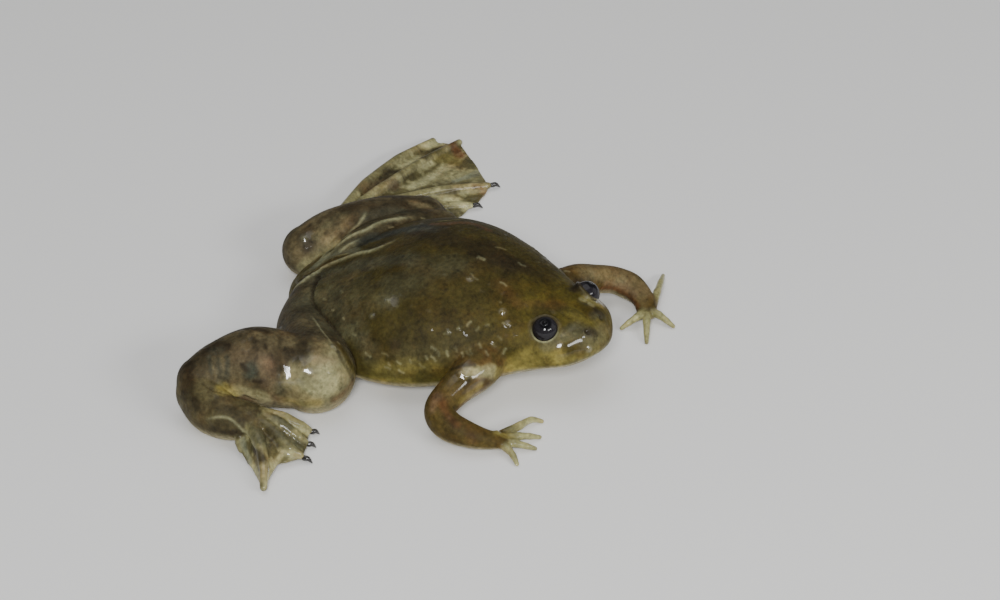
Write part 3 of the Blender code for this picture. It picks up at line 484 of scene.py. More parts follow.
class Forms:
    """Closed forms gathered into one mesh, with the form that each of its points belongs to."""

    def __init__(self):
        self.names = []
        self.faces = []
        self.points = np.zeros((0, 3))
        self.part = np.zeros(0, int)
        self.along = np.zeros(0)

    def add(self, name, points, faces, along=0.0):
        """Adds a form, flattened where it would go below the floor."""
        if name not in self.names:
            self.names.append(name)
        first = len(self.points)
        points[:, 2] = np.maximum(points[:, 2], 0)
        self.points = np.vstack((self.points, points))
        self.faces += [tuple(int(corner) + first for corner in face) for face in faces]
        self.part = np.append(self.part, np.full(len(points), self.names.index(name)))
        self.along = np.append(self.along, along + np.zeros(len(points)))

    def tube(self, name, rings, first, last, along=0.0):
        """Adds the skin through rings of points, closed by a fan at each end."""
        rows, count = rings.shape[:2]
        faces = []
        for row in range(rows - 1):
            faces += ring_faces(row * count, (row + 1) * count, count)
        end = (rows - 1) * count
        for index in range(count):
            after = (index + 1) % count
            faces.append((index, after, rows * count))
            faces.append((end + index, end + after, rows * count + 1))
        self.add(name, np.vstack((rings.reshape(-1, 3), [first], [last])), faces, along)

    def body(self, rings, count):
        """Adds the body, with its rings closer together towards its ends."""
        distance = (0.5 - 0.5 * np.cos(np.pi * np.arange(1, rings) / rings)) * BODY_LENGTH
        angle = np.tile(turns(count), rings - 1)
        table, centre, left, shrink = body_frame(np.repeat(distance, count))
        half_width, low, side, high = table.T
        across = signed_power(np.cos(angle), BODY_FLAT_SIDES) * half_width * shrink
        upward = signed_power(np.sin(angle), BODY_FLAT_BACK)
        reach = np.where(upward > 0, high - side, side - low)
        points = centre + left * across[:, None]
        points[:, 2] = side + reach * upward * shrink
        ends = []
        for place in (0.0, BODY_LENGTH):
            rows, centre, _, _ = body_frame(np.array([place]))
            ends.append((centre[0][0], centre[0][1], rows[0][2]))
        self.tube("body", points.reshape(rings - 1, count, 3), *ends)

    def limb(self, name, rows, stations, count, swell=None):
        """Adds an elliptical tube along a smooth curve through the rows, with domed ends."""
        share = np.linspace(0, 1, stations + 1)
        path = row_at(rows, (len(rows) - 1) * share)
        if swell is not None:
            path[:, 3:5] *= swell(share)[:, None]
        centre = path[:, :3]
        forward = unit(np.gradient(centre, axis=0))
        side = unit(np.cross(forward, (0, 0, 1)))
        up = np.cross(side, forward)
        turn = turns(count)
        bows = [math.radians(angle) for angle in range(84, 6, -12)]
        rings = [(0, -math.sin(bow), math.cos(bow)) for bow in bows]
        rings += [(index, 0.0, 1.0) for index in range(stations + 1)]
        rings += [(stations, math.sin(bow), math.cos(bow)) for bow in bows[::-1]]
        loops = []
        for index, shift, scale in rings:
            wide, tall = path[index, 3:5]
            middle = centre[index] + forward[index] * shift * wide
            loop = middle + np.outer(np.cos(turn) * wide * scale, side[index])
            loops.append(loop + np.outer(np.sin(turn) * tall * scale, up[index]))
        first = centre[0] - forward[0] * path[0, 3]
        last = centre[-1] + forward[-1] * path[-1, 3]
        along = np.repeat([index / stations for index, _, _ in rings], count)
        self.tube(name, np.array(loops), first, last, np.append(along, (0.0, 1.0)))

    def sheet(self, name, middle, half):
        """Adds a thin closed sheet about a grid of points."""
        over = unit(np.cross(np.gradient(middle, axis=0), np.gradient(middle, axis=1)))
        over[over[..., 2] < 0] *= -1
        upper = middle + over * half
        lower = middle - over * half
        upper[..., 2] = np.maximum(upper[..., 2], 2 * half)
        grid = np.arange(middle[..., 0].size).reshape(middle.shape[:2])
        over_side = np.stack((grid[:-1, :-1], grid[:-1, 1:], grid[1:, 1:], grid[1:, :-1]), axis=-1)
        under_side = over_side[..., (0, 3, 2, 1)] + grid.size
        faces = list(np.stack((over_side, under_side), axis=2).reshape(-1, 4))
        border = [*grid[0], *grid[1:, -1], *grid[-1, -2::-1], *grid[-2:0:-1, 0]]
        for here, after in zip(border, border[1:] + border[:1]):
            faces.append((here, here + grid.size, after + grid.size, after))
        self.add(name, np.vstack((upper.reshape(-1, 3), lower.reshape(-1, 3))), faces)

    def ball(self, name, centre, radius, axis, rows=24, count=36):
        """Adds a ball with its poles on the axis."""
        side = unit(np.cross(axis, (0.3, 0.9, 0.1)))
        other = np.cross(axis, side)
        around = np.outer(np.cos(turns(count)), side) + np.outer(np.sin(turns(count)), other)
        rings = []
        for row in range(1, rows):
            bow = math.pi * row / rows
            rings.append(centre + radius * (around * math.sin(bow) + axis * math.cos(bow)))
        self.tube(name, np.array(rings), centre + axis * radius, centre - axis * radius)

    def ring(self, name, centre, axis, major, radius_at, steps=72, count=16):
        """Adds a ring about an axis, whose thickness changes round it."""
        level = unit(np.cross(axis, (0, 0, 1)))
        rising = np.cross(level, axis)
        turn = turns(count)
        loops = []
        faces = []
        for step, angle in enumerate(turns(steps)):
            outward = level * math.cos(angle) + rising * math.sin(angle)
            radius = radius_at(angle)
            loop = centre + np.outer(major + radius * np.cos(turn), outward)
            loops.append(loop + np.outer(radius * np.sin(turn), axis))
            faces += ring_faces(step * count, (step + 1) % steps * count, count)
        self.add(name, np.vstack(loops), faces)


def tapered(points, root, tip):
    """Rows of a round limb through the points, thinning from its root to its tip."""
    points = np.asarray(points, float)
    radius = np.linspace(root, tip, len(points))[:, None]
    return np.hstack((points, radius, radius))


def knuckles(share):
    """Slight swelling at the joints of a finger or toe."""
    return 1 + sum(KNUCKLE_SWELL * np.exp(-(((share - at) / KNUCKLE_WIDTH) ** 2)) for at in KNUCKLES)


def add_foot(forms, side):
    """Five toes, and the web between them."""
    toes = TOES[side]
    for toe in toes:
        rows = tapered(toe, TOE_ROOT, TOE_TIP)
        rows[-1, :3] += unit(rows[-2, :3] - rows[-1, :3]) * TOE_TIP
        forms.limb(f"toe_{side}", rows, *DETAIL["toe"], knuckles)
    along, across = [np.linspace(0, 1, count) for count in DETAIL["web"]]
    bow = 1 - (2 * across - 1) ** 2
    for near, far, limit in zip(toes, toes[1:], WEB_REACH[side]):
        reach = WEB_AT_TOE + (limit - WEB_AT_TOE) * bow
        where = 3 * np.outer(along, reach).ravel()
        share = np.tile(across, len(along))[:, None]
        middle = row_at(near, where) * (1 - share) + row_at(far, where) * share
        middle = middle.reshape(len(along), len(across), 3)
        wide = np.linalg.norm(row_at(near, 3 * along) - row_at(far, 3 * along), axis=1)
        sag = WEB_SAG * wide[:, None] * bow
        pleat = PLEAT_HEIGHT * np.sin(across * PLEATS * np.pi) * bow * along[:, None]
        middle[..., 2] -= np.minimum(sag, middle[..., 2] - WEB_LOWEST) - pleat
        forms.sheet(f"web_{side}", middle, WEB_THICKNESS / 2)


def lid_radius(angle):
    return LID_RADIUS + LID_SWELL * max(-math.sin(angle), 0) ** 2


def gather_forms():
    forms = Forms()
    forms.body(*DETAIL["body"])
    for side, sign in SIDES.items():
        forms.limb(f"arm_{side}", ARMS[side], *DETAIL["arm"])
        for finger in FINGERS[side]:
            rows = tapered(finger, FINGER_ROOT, FINGER_TIP)
            forms.limb(f"finger_{side}", rows, *DETAIL["finger"], knuckles)
        for name in ("thigh", "shank", "ankle"):
            forms.limb(f"{name}_{side}", LEGS[f"{name}_{side}"], *DETAIL["leg"])
        add_foot(forms, side)
        centre, axis = eye_at(sign)
        forms.ball("orbit", centre - axis * ORBIT_DEPTH, ORBIT_RADIUS, axis)
        forms.ring("lid", centre + axis * LID_RISE, axis, EYE_RADIUS + LID_CLEAR, lid_radius)
    return forms


def new_object(name, forms):
    data = bpy.data.meshes.new(name)
    data.from_pydata(forms.points.tolist(), [], forms.faces)
    data.update()
    obj = bpy.data.objects.new(name, data)
    bpy.context.scene.collection.objects.link(obj)
    return obj


def joined_skin(forms):
    """One closed surface round all of the forms."""
    obj = new_object("skin", forms)
    modifier = obj.modifiers.new("remesh", "REMESH")
    modifier.mode = "VOXEL"
    modifier.voxel_size = VOXEL
    modifier.use_smooth_shade = True
    bpy.context.view_layer.update()
    graph = bpy.context.evaluated_depsgraph_get()
    data = bpy.data.meshes.new_from_object(obj.evaluated_get(graph))
    obj.modifiers.clear()
    old = obj.data
    obj.data = data
    bpy.data.meshes.remove(old)
    return obj


def read(obj, name="co"):
    """Places or normals of the object's vertices."""
    flat = np.zeros(len(obj.data.vertices) * 3, np.float32)
    obj.data.vertices.foreach_get(name, flat)
    return flat.reshape(-1, 3).astype(float)


def write_points(obj, points):
    obj.data.vertices.foreach_set("co", points.astype(np.float32).ravel())
    obj.data.update()


class Links:
    """Neighbours of each vertex, for smoothing values over the skin."""

    def __init__(self, obj):
        flat = np.zeros(len(obj.data.edges) * 2, np.int32)
        obj.data.edges.foreach_get("vertices", flat)
        first, second = flat.reshape(-1, 2).T
        self.near = np.concatenate((first, second))
        self.far = np.concatenate((second, first))
        self.count = len(obj.data.vertices)
        self.degree = np.maximum(np.bincount(self.near, minlength=self.count), 1)

    def mean(self, values):
        if values.ndim == 1:
            return np.bincount(self.near, values[self.far], self.count) / self.degree
        return np.stack([self.mean(column) for column in values.T], axis=1)

    def smooth(self, values, rounds, strength=0.5):
        """Smoothed values; strength may differ from vertex to vertex."""
        if np.ndim(strength) and values.ndim == 2:
            strength = strength[:, None]
        for _ in range(rounds):
            values = values + (self.mean(values) - values) * strength
        return values


def segment_distance(points, line):
    """Distance of each point from a line of straight pieces, and the share of its length."""
    if len(line) == 1:
        line = line.repeat(2, axis=0)
    best = np.full(len(points), 1e9)
    share = np.zeros(len(points))
    steps = np.linalg.norm(np.diff(line, axis=0), axis=1)
    total = max(steps.sum(), 1e-9)
    gone = 0.0
    for start, end, step in zip(line, line[1:], steps):
        way = end - start
        t = np.clip((points - start) @ way / max(step**2, 1e-9), 0, 1)
        away = np.linalg.norm(points - start - t[:, None] * way, axis=1)
        closer = away < best
        best = np.where(closer, away, best)
        share = np.where(closer, (gone + t * step) / total, share)
        gone += step
    return best, share


def ramp(value, low, high):
    """0 below low, 1 above high, smooth between."""
    t = np.clip((value - low) / (high - low), 0, 1)
    return t * t * (3 - 2 * t)


def grain(points, size, octaves=3):
    """Soft noise from 0 to 1, whose largest features are about this many millimetres across."""
    total = np.zeros(len(points))
    weight = 1.0
    for octave in range(octaves):
        grid = points / size * 2**octave
        cell = np.floor(grid).astype(np.int64)
        t = grid - cell
        t = t * t * (3 - 2 * t)
        for corner in range(8):
            step = np.array([(corner >> axis) & 1 for axis in range(3)])
            key = (cell + step) @ GRAIN_KEYS + octave * GRAIN_STEP
            value = ((key * key * GRAIN_STEP + key) % GRAIN_TURN) / GRAIN_TURN
            total += weight * value * np.prod(np.where(step, t, 1 - t), axis=1)
        weight /= 2
    return total / (2 - 2 * weight)


def mouth_line(rise=0.0):
    """Points along the mouth, from its right corner round the snout to its left one."""
    share = np.linspace(0, 1, 25) ** 2
    level = MOUTH_FRONT_LEVEL + (MOUTH_CORNER_LEVEL - MOUTH_FRONT_LEVEL) * share
    rows, _, _, _ = body_frame(np.array([0.0]))
    drop = (rows[0][2] - MOUTH_FRONT_LEVEL) / (rows[0][2] - rows[0][1])
    front = SNOUT_ROUND * (1 - math.sqrt(1 - drop ** (2 / BODY_FLAT_BACK)))
    rows, centre, left, shrink = body_frame(front + (MOUTH_CORNER - front) * share)
    half_width, low, side, _ = rows.T
    sine = np.clip((side - level) / (side - low) / shrink, 0, 1) ** (1 / BODY_FLAT_BACK)
    across = half_width * shrink * np.sqrt(1 - sine**2) ** BODY_FLAT_SIDES
    halves = []
    for sign in (-1, 1):
        points = centre + left * (sign * across)[:, None]
        points[:, 2] = level + rise
        halves.append(points)
    return np.vstack((halves[0][::-1], halves[1][1:]))


class Skin:
    """The joined skin, with what each of its vertices grew from."""

    def __init__(self):
        forms = gather_forms()
        self.obj = joined_skin(forms)
        self.links = Links(self.obj)
        self.points = read(self.obj)
        self.find_parts(forms)
        self.relax()
        thighs = self.soft_mask(5, "thigh_right") + FAR_SEAM * self.soft_mask(5, "thigh_left")
        self.seam = np.clip(4 * self.soft_mask(5, "body") * thighs, 0, 1)
        self.pale = np.zeros(len(self.points))
        self.painted_shade = np.zeros(len(self.points))
        self.lift = -SEAM_DEPTH * self.seam
        self.film = np.zeros(len(self.points))
        self.grain = grain(self.points, 2.2)
        self.washes = []
        faces = [tuple(face.vertices) for face in self.obj.data.polygons]
        self.tree = BVHTree.FromPolygons(self.points.tolist(), faces)

    def find_parts(self, forms):
        """Gives each vertex the form that it grew from, and how far along it."""
        tree = KDTree(len(forms.points))
        for index, point in enumerate(forms.points):
            tree.insert(point, index)
        tree.balance()
        nearest = [tree.find(point)[1] for point in self.points]
        self.part = forms.part[nearest]
        self.along = forms.along[nearest]
        self.names = forms.names

    def mask(self, *names):
        """1 on the named parts and 0 elsewhere."""
        wanted = [index for index, name in enumerate(self.names) if name.startswith(names)]
        return np.isin(self.part, wanted).astype(float)

    def soft_mask(self, rounds, *names):
        return self.links.smooth(self.mask(*names), rounds)

    def move(self, points):
        """Puts the vertices at these points, or on the floor where they would go below it."""
        points[:, 2] = np.maximum(points[:, 2], 0)
        self.points = points
        write_points(self.obj, points)
        self.normals = read(self.obj, "normal")

    def relax(self):
        """Smooths the joins between forms, less where the flesh is thin."""
        thin = self.soft_mask(6, "toe", "web", "finger", "lid")
        self.move(self.links.smooth(self.points, SMOOTH_ROUNDS, 0.5 - THIN_RELIEF * thin))

    def on_skin(self, pixels, steps=4):
        """Points of the skin along a line drawn in the photograph's view, smooth from all sides."""
        pixels = np.reshape(pixels, (-1, 2)).astype(float)
        if len(pixels) > 1:
            pixels = row_at(pixels, np.linspace(0, len(pixels) - 1, (len(pixels) - 1) * steps + 1))
        eye = VIEW_TARGET + VIEW_BACK * VIEW_DISTANCE
        found = []
        for x, y in pixels:
            right = (x - PICTURE[0] / 2) / PIXELS_PER_MM
            up = (PICTURE[1] / 2 - y) / PIXELS_PER_MM
            aim = VIEW_TARGET + VIEW_RIGHT * right + VIEW_UP * up
            hit = self.tree.ray_cast(Vector(eye), Vector(unit(aim - eye)))
            if hit[0] is not None:
                found.append(np.array(hit[0]))
        if len(found) < 5:
            return found
        path = np.array(found)
        for _ in range(LINE_ROUNDS):
            path[1:-1] = (path[:-2] + 2 * path[1:-1] + path[2:]) / 4
        return [self.nearest(point) for point in path]

    def nearest(self, point):
        return np.array(self.tree.find_nearest(Vector(point))[0])

    def mirrored(self, line):
        """The same line on the other side of the body."""
        turned = []
        for point in line:
            distance = np.clip(point[1] - SNOUT_Y, 0.5, BODY_LENGTH - 0.5)
            _, centre, left, _ = body_frame(np.array([distance]))
            across = (point - centre[0]) @ left[0]
            turned.append(self.nearest(point - 2 * across * left[0]))
        return turned

    def near(self, line, reach):
        """Vertices within reach of a line, their distances from it and shares of its length."""
        line = np.asarray(line, float)
        low = line.min(axis=0) - reach
        high = line.max(axis=0) + reach
        inside = np.nonzero(np.all((self.points > low) & (self.points < high), axis=1))[0]
        return inside, *segment_distance(self.points[inside], line)

    def stroke(self, line, width, lift=0.0, pale=0.0, painted_shade=0.0, fade=0.25):
        """A soft line that lifts or sinks the skin, and makes it paler, or darker with painted shade."""
        if len(line) == 0:
            return
        inside, away, share = self.near(line, 3 * width)
        weight = np.exp(-((away / width) ** 2))
        if len(line) > 1 and fade > 0:
            weight = weight * ramp(share, -0.02, fade) * (1 - ramp(share, 1 - fade, 1.02))
        self.lift[inside] += lift * weight
        self.pale[inside] = np.maximum(self.pale[inside], pale * weight)
        self.painted_shade[inside] = np.maximum(self.painted_shade[inside], painted_shade * weight)

    def spread(self, line, reach):
        """Vertices on the seen side about a line, and how strongly a ragged wash takes there."""
        inside, away, _ = self.near(line, 1.6 * reach)
        ragged = away / reach + 1.2 * (self.grain[inside] - 0.5)
        facing = ramp(self.normals[inside] @ VIEW_BACK, -0.3, 0.2)
        return inside, (1 - ramp(ragged, 0.2, 1.3)) * facing

    def wash(self, tone, strength, reach, line):
        """Washes a tone over the skin about a line: a stain, or painted shade, sheen or highlight."""
        if len(line) > 0:
            inside, weight = self.spread(line, reach / PIXELS_PER_MM)
            self.washes.append((inside, weight * strength, tone))

    def wet(self, inside, film):
        self.film[inside] = np.maximum(self.film[inside], film)


def draw_marks(skin):
    """Folds, creases, stains with painted shade and highlights among them, wet places, sense-organ stitches
    and bumps.
    """
    for width, lift, pale, *pixels in FOLDS:
        skin.stroke(skin.on_skin(pixels), width, lift, pale)
    for width, depth, painted_shade, *pixels in CREASES:
        skin.stroke(skin.on_skin(pixels), width, -depth, painted_shade=painted_shade)
    for tone, strength, reach, *pixels in WASHES:
        skin.wash(tone, strength, reach, skin.on_skin(pixels))
    for x, y, reach in SPOTS:
        spot = skin.on_skin((x, y))
        for one in (spot, skin.mirrored(spot)):
            skin.wash("dusk", SPOT_STRENGTH, reach, one)
    for reach, *pixels in FILM:
        skin.wet(*skin.spread(skin.on_skin(pixels), reach / PIXELS_PER_MM))
    for index, (start_x, start_y, end_x, end_y) in enumerate(STITCHES):
        bow = STITCH_BOW if index % 2 else -STITCH_BOW
        middle_x = (start_x + end_x) / 2 - bow * (end_y - start_y)
        middle_y = (start_y + end_y) / 2 + bow * (end_x - start_x)
        line = skin.on_skin((start_x, start_y, middle_x, middle_y, end_x, end_y), 3)
        pale = STITCH_PALE[index % len(STITCH_PALE)]
        if len(line) > 1:
            for one in (line, skin.mirrored(line)):
                skin.stroke(one, STITCH_WIDTH, STITCH_LIFT, pale, fade=STITCH_FADE)
    for x, y, lift, width in BUMPS:
        spot = skin.on_skin((x, y))
        # Each bump is painted paler, as a painted highlight.
        skin.stroke(spot, width, lift, BUMP_PAINTED_HIGHLIGHT)
        inside, away, _ = skin.near(spot, 2 * width)
        skin.wet(inside, 1 - ramp(away / width, 1, 2))


def draw_face(skin):
    """The mouth under its lip, and the nostrils."""
    skin.stroke(mouth_line(), *MOUTH_STROKE)
    skin.stroke(mouth_line(LIP_RISE), *LIP_STROKE)
    for sign in SIDES.values():
        rows, centre, left, _ = body_frame(np.array([NOSTRIL_BACK]))
        place = centre[0] + left[0] * sign * NOSTRIL_ACROSS
        place[2] = rows[0][3]
        point = skin.nearest(place)
        skin.stroke([point], *NOSTRIL_RIM)
        skin.stroke([point + NOSTRIL_SHIFT * np.array((sign, 1, 1))], *NOSTRIL_HOLE)


def lean(colour, tone, weight):
    """The colours moved towards a tone by the weight at each vertex."""
    return colour + (np.array(TONES[tone]) - colour) * weight[:, None]


def part_tones(skin, body, legs, web, toe):
    """The plain tone of each part, blended where parts meet."""
    head = 1 - ramp(skin.points[:, 1] - SNOUT_Y, 9.0, 17.0)
    arm = skin.soft_mask(BLEND_ROUNDS, "arm")
    finger = skin.soft_mask(BLEND_ROUNDS // 3, "finger")
    tip = ramp(skin.links.smooth(skin.mask("finger") * skin.along, 6), -0.15, 0.45)
    weights = [
        (body * head, "head"),
        (body * (1 - head), "back"),
        (arm, "arm"),
        (finger * (1 - tip), "arm"),
        (finger * tip, "finger"),
        *[(weight, name) for name, weight in legs.items()],
        (toe, "toe"),
        (web, "web"),
        (skin.soft_mask(2, "lid"), "lid"),
    ]
    colour = sum(weight[:, None] * np.array(TONES[tone]) for weight, tone in weights)
    total = sum(weight for weight, _ in weights)
    return colour / np.maximum(total, 1e-6)[:, None], arm


def paint(skin):
    """The skin's colour at each vertex, before the fine mottling of its material."""
    points = skin.points
    body = skin.soft_mask(BLEND_ROUNDS, "body", "orbit")
    legs = {name: skin.soft_mask(BLEND_ROUNDS, name) for name in ("thigh", "shank", "ankle")}
    web = skin.soft_mask(4, "web")
    toe = skin.soft_mask(4, "toe")
    colour, arm = part_tones(skin, body, legs, web, toe)
    upward = skin.links.smooth(skin.normals[:, 2], 10)
    leg = np.clip(sum(legs.values()), 0, 1)
    blot = ramp(grain(points, 3.4), 0.50, 0.62)
    fleck = ramp(grain(points + 40, 1.1), 0.56, 0.70)
    pale_patch = ramp(grain(points + 7, 4.6), 0.52, 0.64)
    for tone, weight in (
        ("tan", pale_patch * leg * 0.30),
        ("cream", ramp(-upward, -0.25, 0.5) * legs["thigh"] * 0.30),
        ("dusk", blot * leg * 0.30),
        ("dusk", fleck * leg * 0.35),
        ("dusk", fleck * body * 0.20),
        ("dusk", blot * web * 0.40),
        ("cream", (1 - blot) * fleck * np.clip(web + toe, 0, 1) * 0.40),
        ("rust", blot * arm * 0.25),
        ("flank", (1 - ramp(points[:, 2], 2.5, 8.0)) * body * 0.75),
    ):
        colour = lean(colour, tone, weight)
    for inside, weight, tone in skin.washes:
        colour[inside] = lean(colour[inside], tone, weight)
    colour = lean(colour, "belly", ramp(-upward, 0.15, 0.75) * 0.9)
    # Painted shade in the crease between thigh and body.
    colour = lean(colour, "dusk", skin.seam * 0.75)
    for sign in SIDES.values():
        centre, _ = eye_at(sign)
        away = np.linalg.norm(points - centre, axis=1)
        rim = 1 - ramp(away, EYE_RADIUS + 0.10, EYE_RADIUS + 0.26)
        lower = 1 - ramp(points[:, 2] - centre[2], -0.8, 1.0)
        # The ring about each eye is painted darker above as painted shade, and paler below, partly the
        # lid's own pale rim and partly a painted highlight.
        colour = lean(colour, "dusk", rim * (1 - lower) * 0.7)
        colour = lean(colour, "pale", rim * lower * 0.5)
    # Painted shade in the creases, the mouth's groove and the nostril holes.
    colour = lean(colour, "dusk", skin.painted_shade * 0.9)
    return lean(colour, "pale", skin.pale)


def wetness(skin):
    """How thick the wet film lies at each vertex."""
    foot = skin.soft_mask(12, "web", "toe") * FOOT_FILM
    hand = skin.soft_mask(12, "finger", "lid") * HAND_FILM
    drops = ramp(grain(skin.points + 90, 0.8, 2), 0.66, 0.80) * DROP_FILM
    lips = np.zeros(len(skin.points))
    inside, away, _ = skin.near(mouth_line(0.4), 1.2)
    lips[inside] = LIP_FILM * (1 - ramp(away, 0.3, 1.2))
    return np.clip(np.maximum.reduce((skin.film, foot + hand, drops, lips)), 0, 1)


def add_attribute(obj, name, values):
    attribute = obj.data.attributes.new(name, "FLOAT_COLOR", "POINT")
    flat = np.ones((len(values), 4), np.float32)
    flat[:, :3] = values.reshape(len(values), -1)
    attribute.data.foreach_set("color", flat.ravel())


def place(obj, shift, slot):
    """Sets a piece made in the frog's frame in its place in the room."""
    write_points(obj, (read(obj) + shift) * MM)
    for polygon in obj.data.polygons:
        polygon.use_smooth = True
    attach(obj, "root")


class Material:
    """A material with its shader, and short ways to add nodes to it."""

    def __init__(self, name, **values):
        self.data = bpy.data.materials.new(name)
        self.data.use_nodes = True
        self.shader = self.data.node_tree.nodes["Principled BSDF"]
        for key, value in values.items():
            self.shader.inputs[key.replace("_", " ")].default_value = value

    def add(self, kind, **settings):
        node = self.data.node_tree.nodes.new("ShaderNode" + kind)
        for name, value in settings.items():
            setattr(node, name, value)
        return node

    def join(self, source, socket):
        self.data.node_tree.links.new(source, socket)

    def ranged(self, value, low, high, out_low, out_high):
        """The value between low and high, stretched to the range out_low to out_high."""
        node = self.add("MapRange", clamp=True)
        for index, number in enumerate((low, high, out_low, out_high)):
            node.inputs[index + 1].default_value = number
        self.join(value, node.inputs[0])
        return node.outputs[0]

    def noise(self, size, detail, *span):
        """Noise with features about this many millimetres across, stretched to a range."""
        node = self.add("TexNoise")
        node.inputs["Scale"].default_value = 1 / (size * MM)
        node.inputs["Detail"].default_value = detail
        node.inputs["Roughness"].default_value = 0.55
        self.join(self.add("TexCoord").outputs["Object"], node.inputs["Vector"])
        return self.ranged(node.outputs["Fac"], *span)

    def mixed(self, kind, fac, first, second):
        node = self.add("Mix", data_type="RGBA", blend_type=kind)
        for index, value in ((0, fac), (6, first), (7, second)):
            if isinstance(value, bpy.types.NodeSocket):
                self.join(value, node.inputs[index])
            else:
                node.inputs[index].default_value = (*value, 1.0)
        return node.outputs[2]

    def scaled(self, vector, scale):
        node = self.add("VectorMath", operation="SCALE")
        if isinstance(vector, bpy.types.NodeSocket):
            self.join(vector, node.inputs[0])
        else:
            node.inputs[0].default_value = vector
        self.join(scale, node.inputs["Scale"])
        return node.outputs[0]

    def reckoned(self, operation, first, second):
        node = self.add("Math", operation=operation)
        self.join(first, node.inputs[0])
        self.join(second, node.inputs[1])
        return node.outputs[0]


def skin_material():
    """Wet skin: the painted tones, broken up by mottling and relief."""
    made = Material(
        "skin",
        Coat_Roughness=0.05,
        Coat_IOR=1.5,
        Subsurface_Weight=0.10,
        Subsurface_Scale=0.8 * MM,
        Subsurface_Radius=(1.0, 0.5, 0.25),
        Specular_IOR_Level=0.10,
    )
    sockets = made.shader.inputs
    tone = made.add("Attribute", attribute_name="tone").outputs["Color"]
    film = made.add("Attribute", attribute_name="film").outputs["Fac"]
    patch = made.noise(4.0, 4, 0.50, 0.68, 0.0, 0.5)
    speck = made.noise(1.1, 4, 0.57, 0.68, 0.0, 0.6)
    colour = made.mixed("MULTIPLY", patch, tone, (1.18, 0.92, 0.78))
    colour = made.mixed("MULTIPLY", speck, colour, (0.50, 0.50, 0.52))
    broad = made.noise(3.0, 6, 0.36, 0.64, 0.74, 1.26)
    fine = made.noise(0.6, 5, 0.35, 0.65, 0.78, 1.24)
    colour = made.scaled(colour, made.reckoned("MULTIPLY", broad, fine))
    made.join(colour, sockets["Base Color"])
    made.join(made.ranged(film, 0.0, 1.0, 0.56, 0.25), sockets["Roughness"])
    made.join(made.ranged(film, 0.1, 1.0, 0.0, 1.0), sockets["Coat Weight"])
    grains = made.noise(0.45, 3, 0.0, 1.0, 0.0, 0.5)
    swells = made.noise(1.6, 4, 0.0, 1.0, 0.0, 1.0)
    bump = made.add("Bump")
    bump.inputs["Distance"].default_value = 0.25 * MM
    made.join(made.ranged(film, 0.0, 1.0, 0.60, 0.16), bump.inputs["Strength"])
    made.join(made.reckoned("ADD", grains, swells), bump.inputs["Height"])
    made.join(bump.outputs[0], sockets["Normal"])
    return made.data


def eye_material(centre, gaze):
    """Slate-grey iris with a black pupil on the gaze, under a clear wet film."""
    made = Material("eye", Roughness=0.3, Specular_IOR_Level=0.0, Coat_Weight=0.6, Coat_Roughness=0.02)
    reach = EYE_RADIUS * MM
    away = made.add("VectorMath", operation="DISTANCE")
    away.inputs[1].default_value = tuple(centre + gaze * reach)
    made.join(made.add("TexCoord").outputs["Object"], away.inputs[0])
    value = away.outputs["Value"]
    iris = made.ranged(value, 0.38 * reach, 0.60 * reach, 0.0, 1.0)
    rim = made.ranged(value, 0.95 * reach, 1.25 * reach, 0.0, 1.0)
    grey = made.scaled((0.016, 0.0145, 0.017), made.noise(0.25, 4, 0.35, 0.65, 0.8, 1.25))
    colour = made.mixed("MIX", iris, (0.004, 0.004, 0.005), grey)
    colour = made.mixed("MIX", rim, colour, (0.009, 0.008, 0.010))
    made.join(colour, made.shader.inputs["Base Color"])
    return made.data


def own_piece(name, forms, shift, slot, nodes, material):
    """A piece of its own, made of the forms."""
    obj = new_object(name, forms)
    place(obj, shift, slot)
    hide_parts(*nodes)
    obj.data.materials.append(material)


def add_eyes(shift):
    for side, sign in SIDES.items():
        centre, _ = eye_at(sign)
        gaze = unit(GAZE * np.array((sign, 1, 1)))
        forms = Forms()
        forms.ball("eye", centre, EYE_RADIUS, gaze)
        material = eye_material((centre + shift) * MM, gaze)
        own_piece(f"eyeball_{side}", forms, shift, "eye", [f"eye_{side}"], material)


def add_claws(shift):
    look = {"Roughness": 0.25, "Coat_Weight": 0.6, "Coat_Roughness": 0.08}
    material = Material("claw", Base_Color=(0.012, 0.010, 0.009, 1), **look).data
    for side in SIDES:
        for index in range(CLAWED_TOES):
            toe = np.array(TOES[side][index])
            forward = unit(toe[-1] - toe[-2])
            start = toe[-1] + forward * CLAW_START
            end = start + forward * CLAW_LENGTH
            middle = (start + end) / 2
            start[2] = max(start[2], CLAW_LEVEL)
            middle[2] = max(start[2] - CLAW_DROP, CLAW_RADII[0])
            end[2] = CLAW_TIP_LEVEL
            rows = [(*point, radius, radius) for point, radius in zip((start, middle, end), CLAW_RADII)]
            forms = Forms()
            forms.limb("claw", rows, *DETAIL["claw"])
            name = f"{side}_{index + 1}"
            own_piece(f"claw_cap_{name}", forms, shift, "claw", [f"claw_{name}"], material)


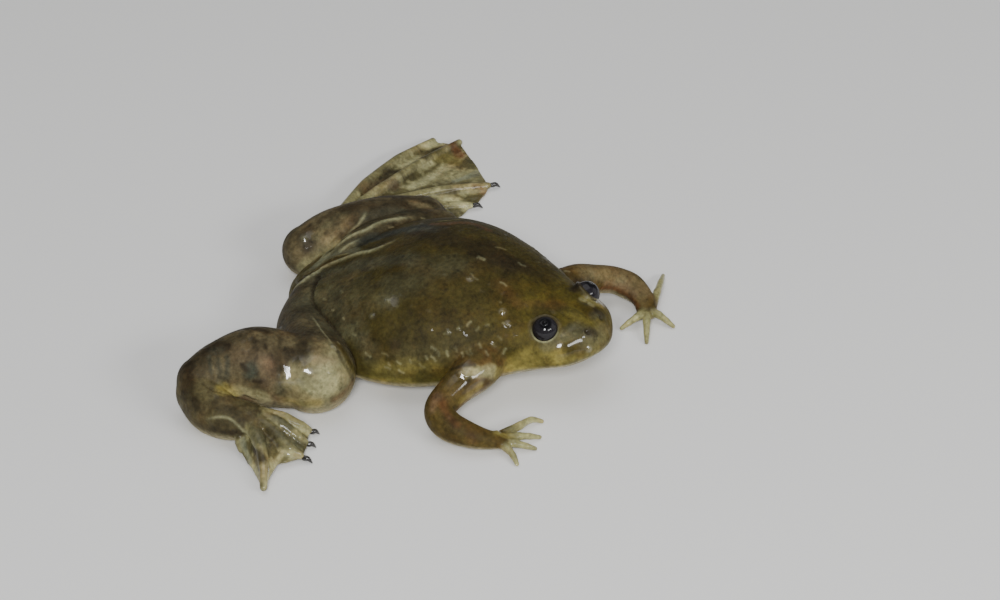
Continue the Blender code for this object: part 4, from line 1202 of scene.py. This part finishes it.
def aimed(name, data, location, direction):
    """Adds a lamp or camera that looks along a direction."""
    obj = bpy.data.objects.new(name, data)
    obj.location = location
    obj.rotation_mode = "QUATERNION"
    obj.rotation_quaternion = direction.to_track_quat("-Z", "Y")
    bpy.context.scene.collection.objects.link(obj)
    return obj


def add_stage(shift):
    """Floor, soft studio lights and the camera at the photograph's angle."""
    bpy.ops.mesh.primitive_plane_add(size=3.0)
    floor = bpy.context.object
    floor.name = "floor"
    floor.data.materials.append(Material("floor", Base_Color=(0.82, 0.82, 0.81, 1), Roughness=0.8).data)
    world = bpy.data.worlds.new("room")
    world.use_nodes = True
    sky = world.node_tree.nodes["Background"].inputs
    sky["Color"].default_value = (0.92, 0.92, 0.92, 1)
    sky["Strength"].default_value = 0.18
    bpy.context.scene.world = world
    target = Vector((VIEW_TARGET + shift) * MM)
    for name, location, width, height, watts in LAMPS:
        data = bpy.data.lights.new(name, "AREA")
        data.shape = "RECTANGLE"
        data.size = width
        data.size_y = height
        data.energy = watts
        aimed(name, data, target + Vector(location), -Vector(location))
    data = bpy.data.cameras.new("camera")
    data.lens = SENSOR * PIXELS_PER_MM * VIEW_DISTANCE / PICTURE[0]
    data.sensor_width = SENSOR
    data.clip_start = 0.01
    back = Vector(VIEW_BACK)
    bpy.context.scene.camera = aimed("camera", data, target + back * VIEW_DISTANCE * MM, -back)


def main():
    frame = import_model()
    eye_low, eye_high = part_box("eye_left")
    shift = np.array((eye_low + eye_high) / 2) / MM - np.array(EYE_CENTRE)
    skin = Skin()
    draw_marks(skin)
    draw_face(skin)
    skin.move(skin.points + skin.normals * skin.lift[:, None])
    add_attribute(skin.obj, "tone", paint(skin))
    add_attribute(skin.obj, "film", wetness(skin))
    skin.obj.data.materials.clear()
    skin.obj.data.materials.append(skin_material())
    place(skin.obj, shift, "back_skin")
    flesh = [name for name in frame["nodes"] if not name.startswith(("eye", "claw"))]
    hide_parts(*flesh)
    add_eyes(shift)
    add_claws(shift)
    add_stage(shift)


main()
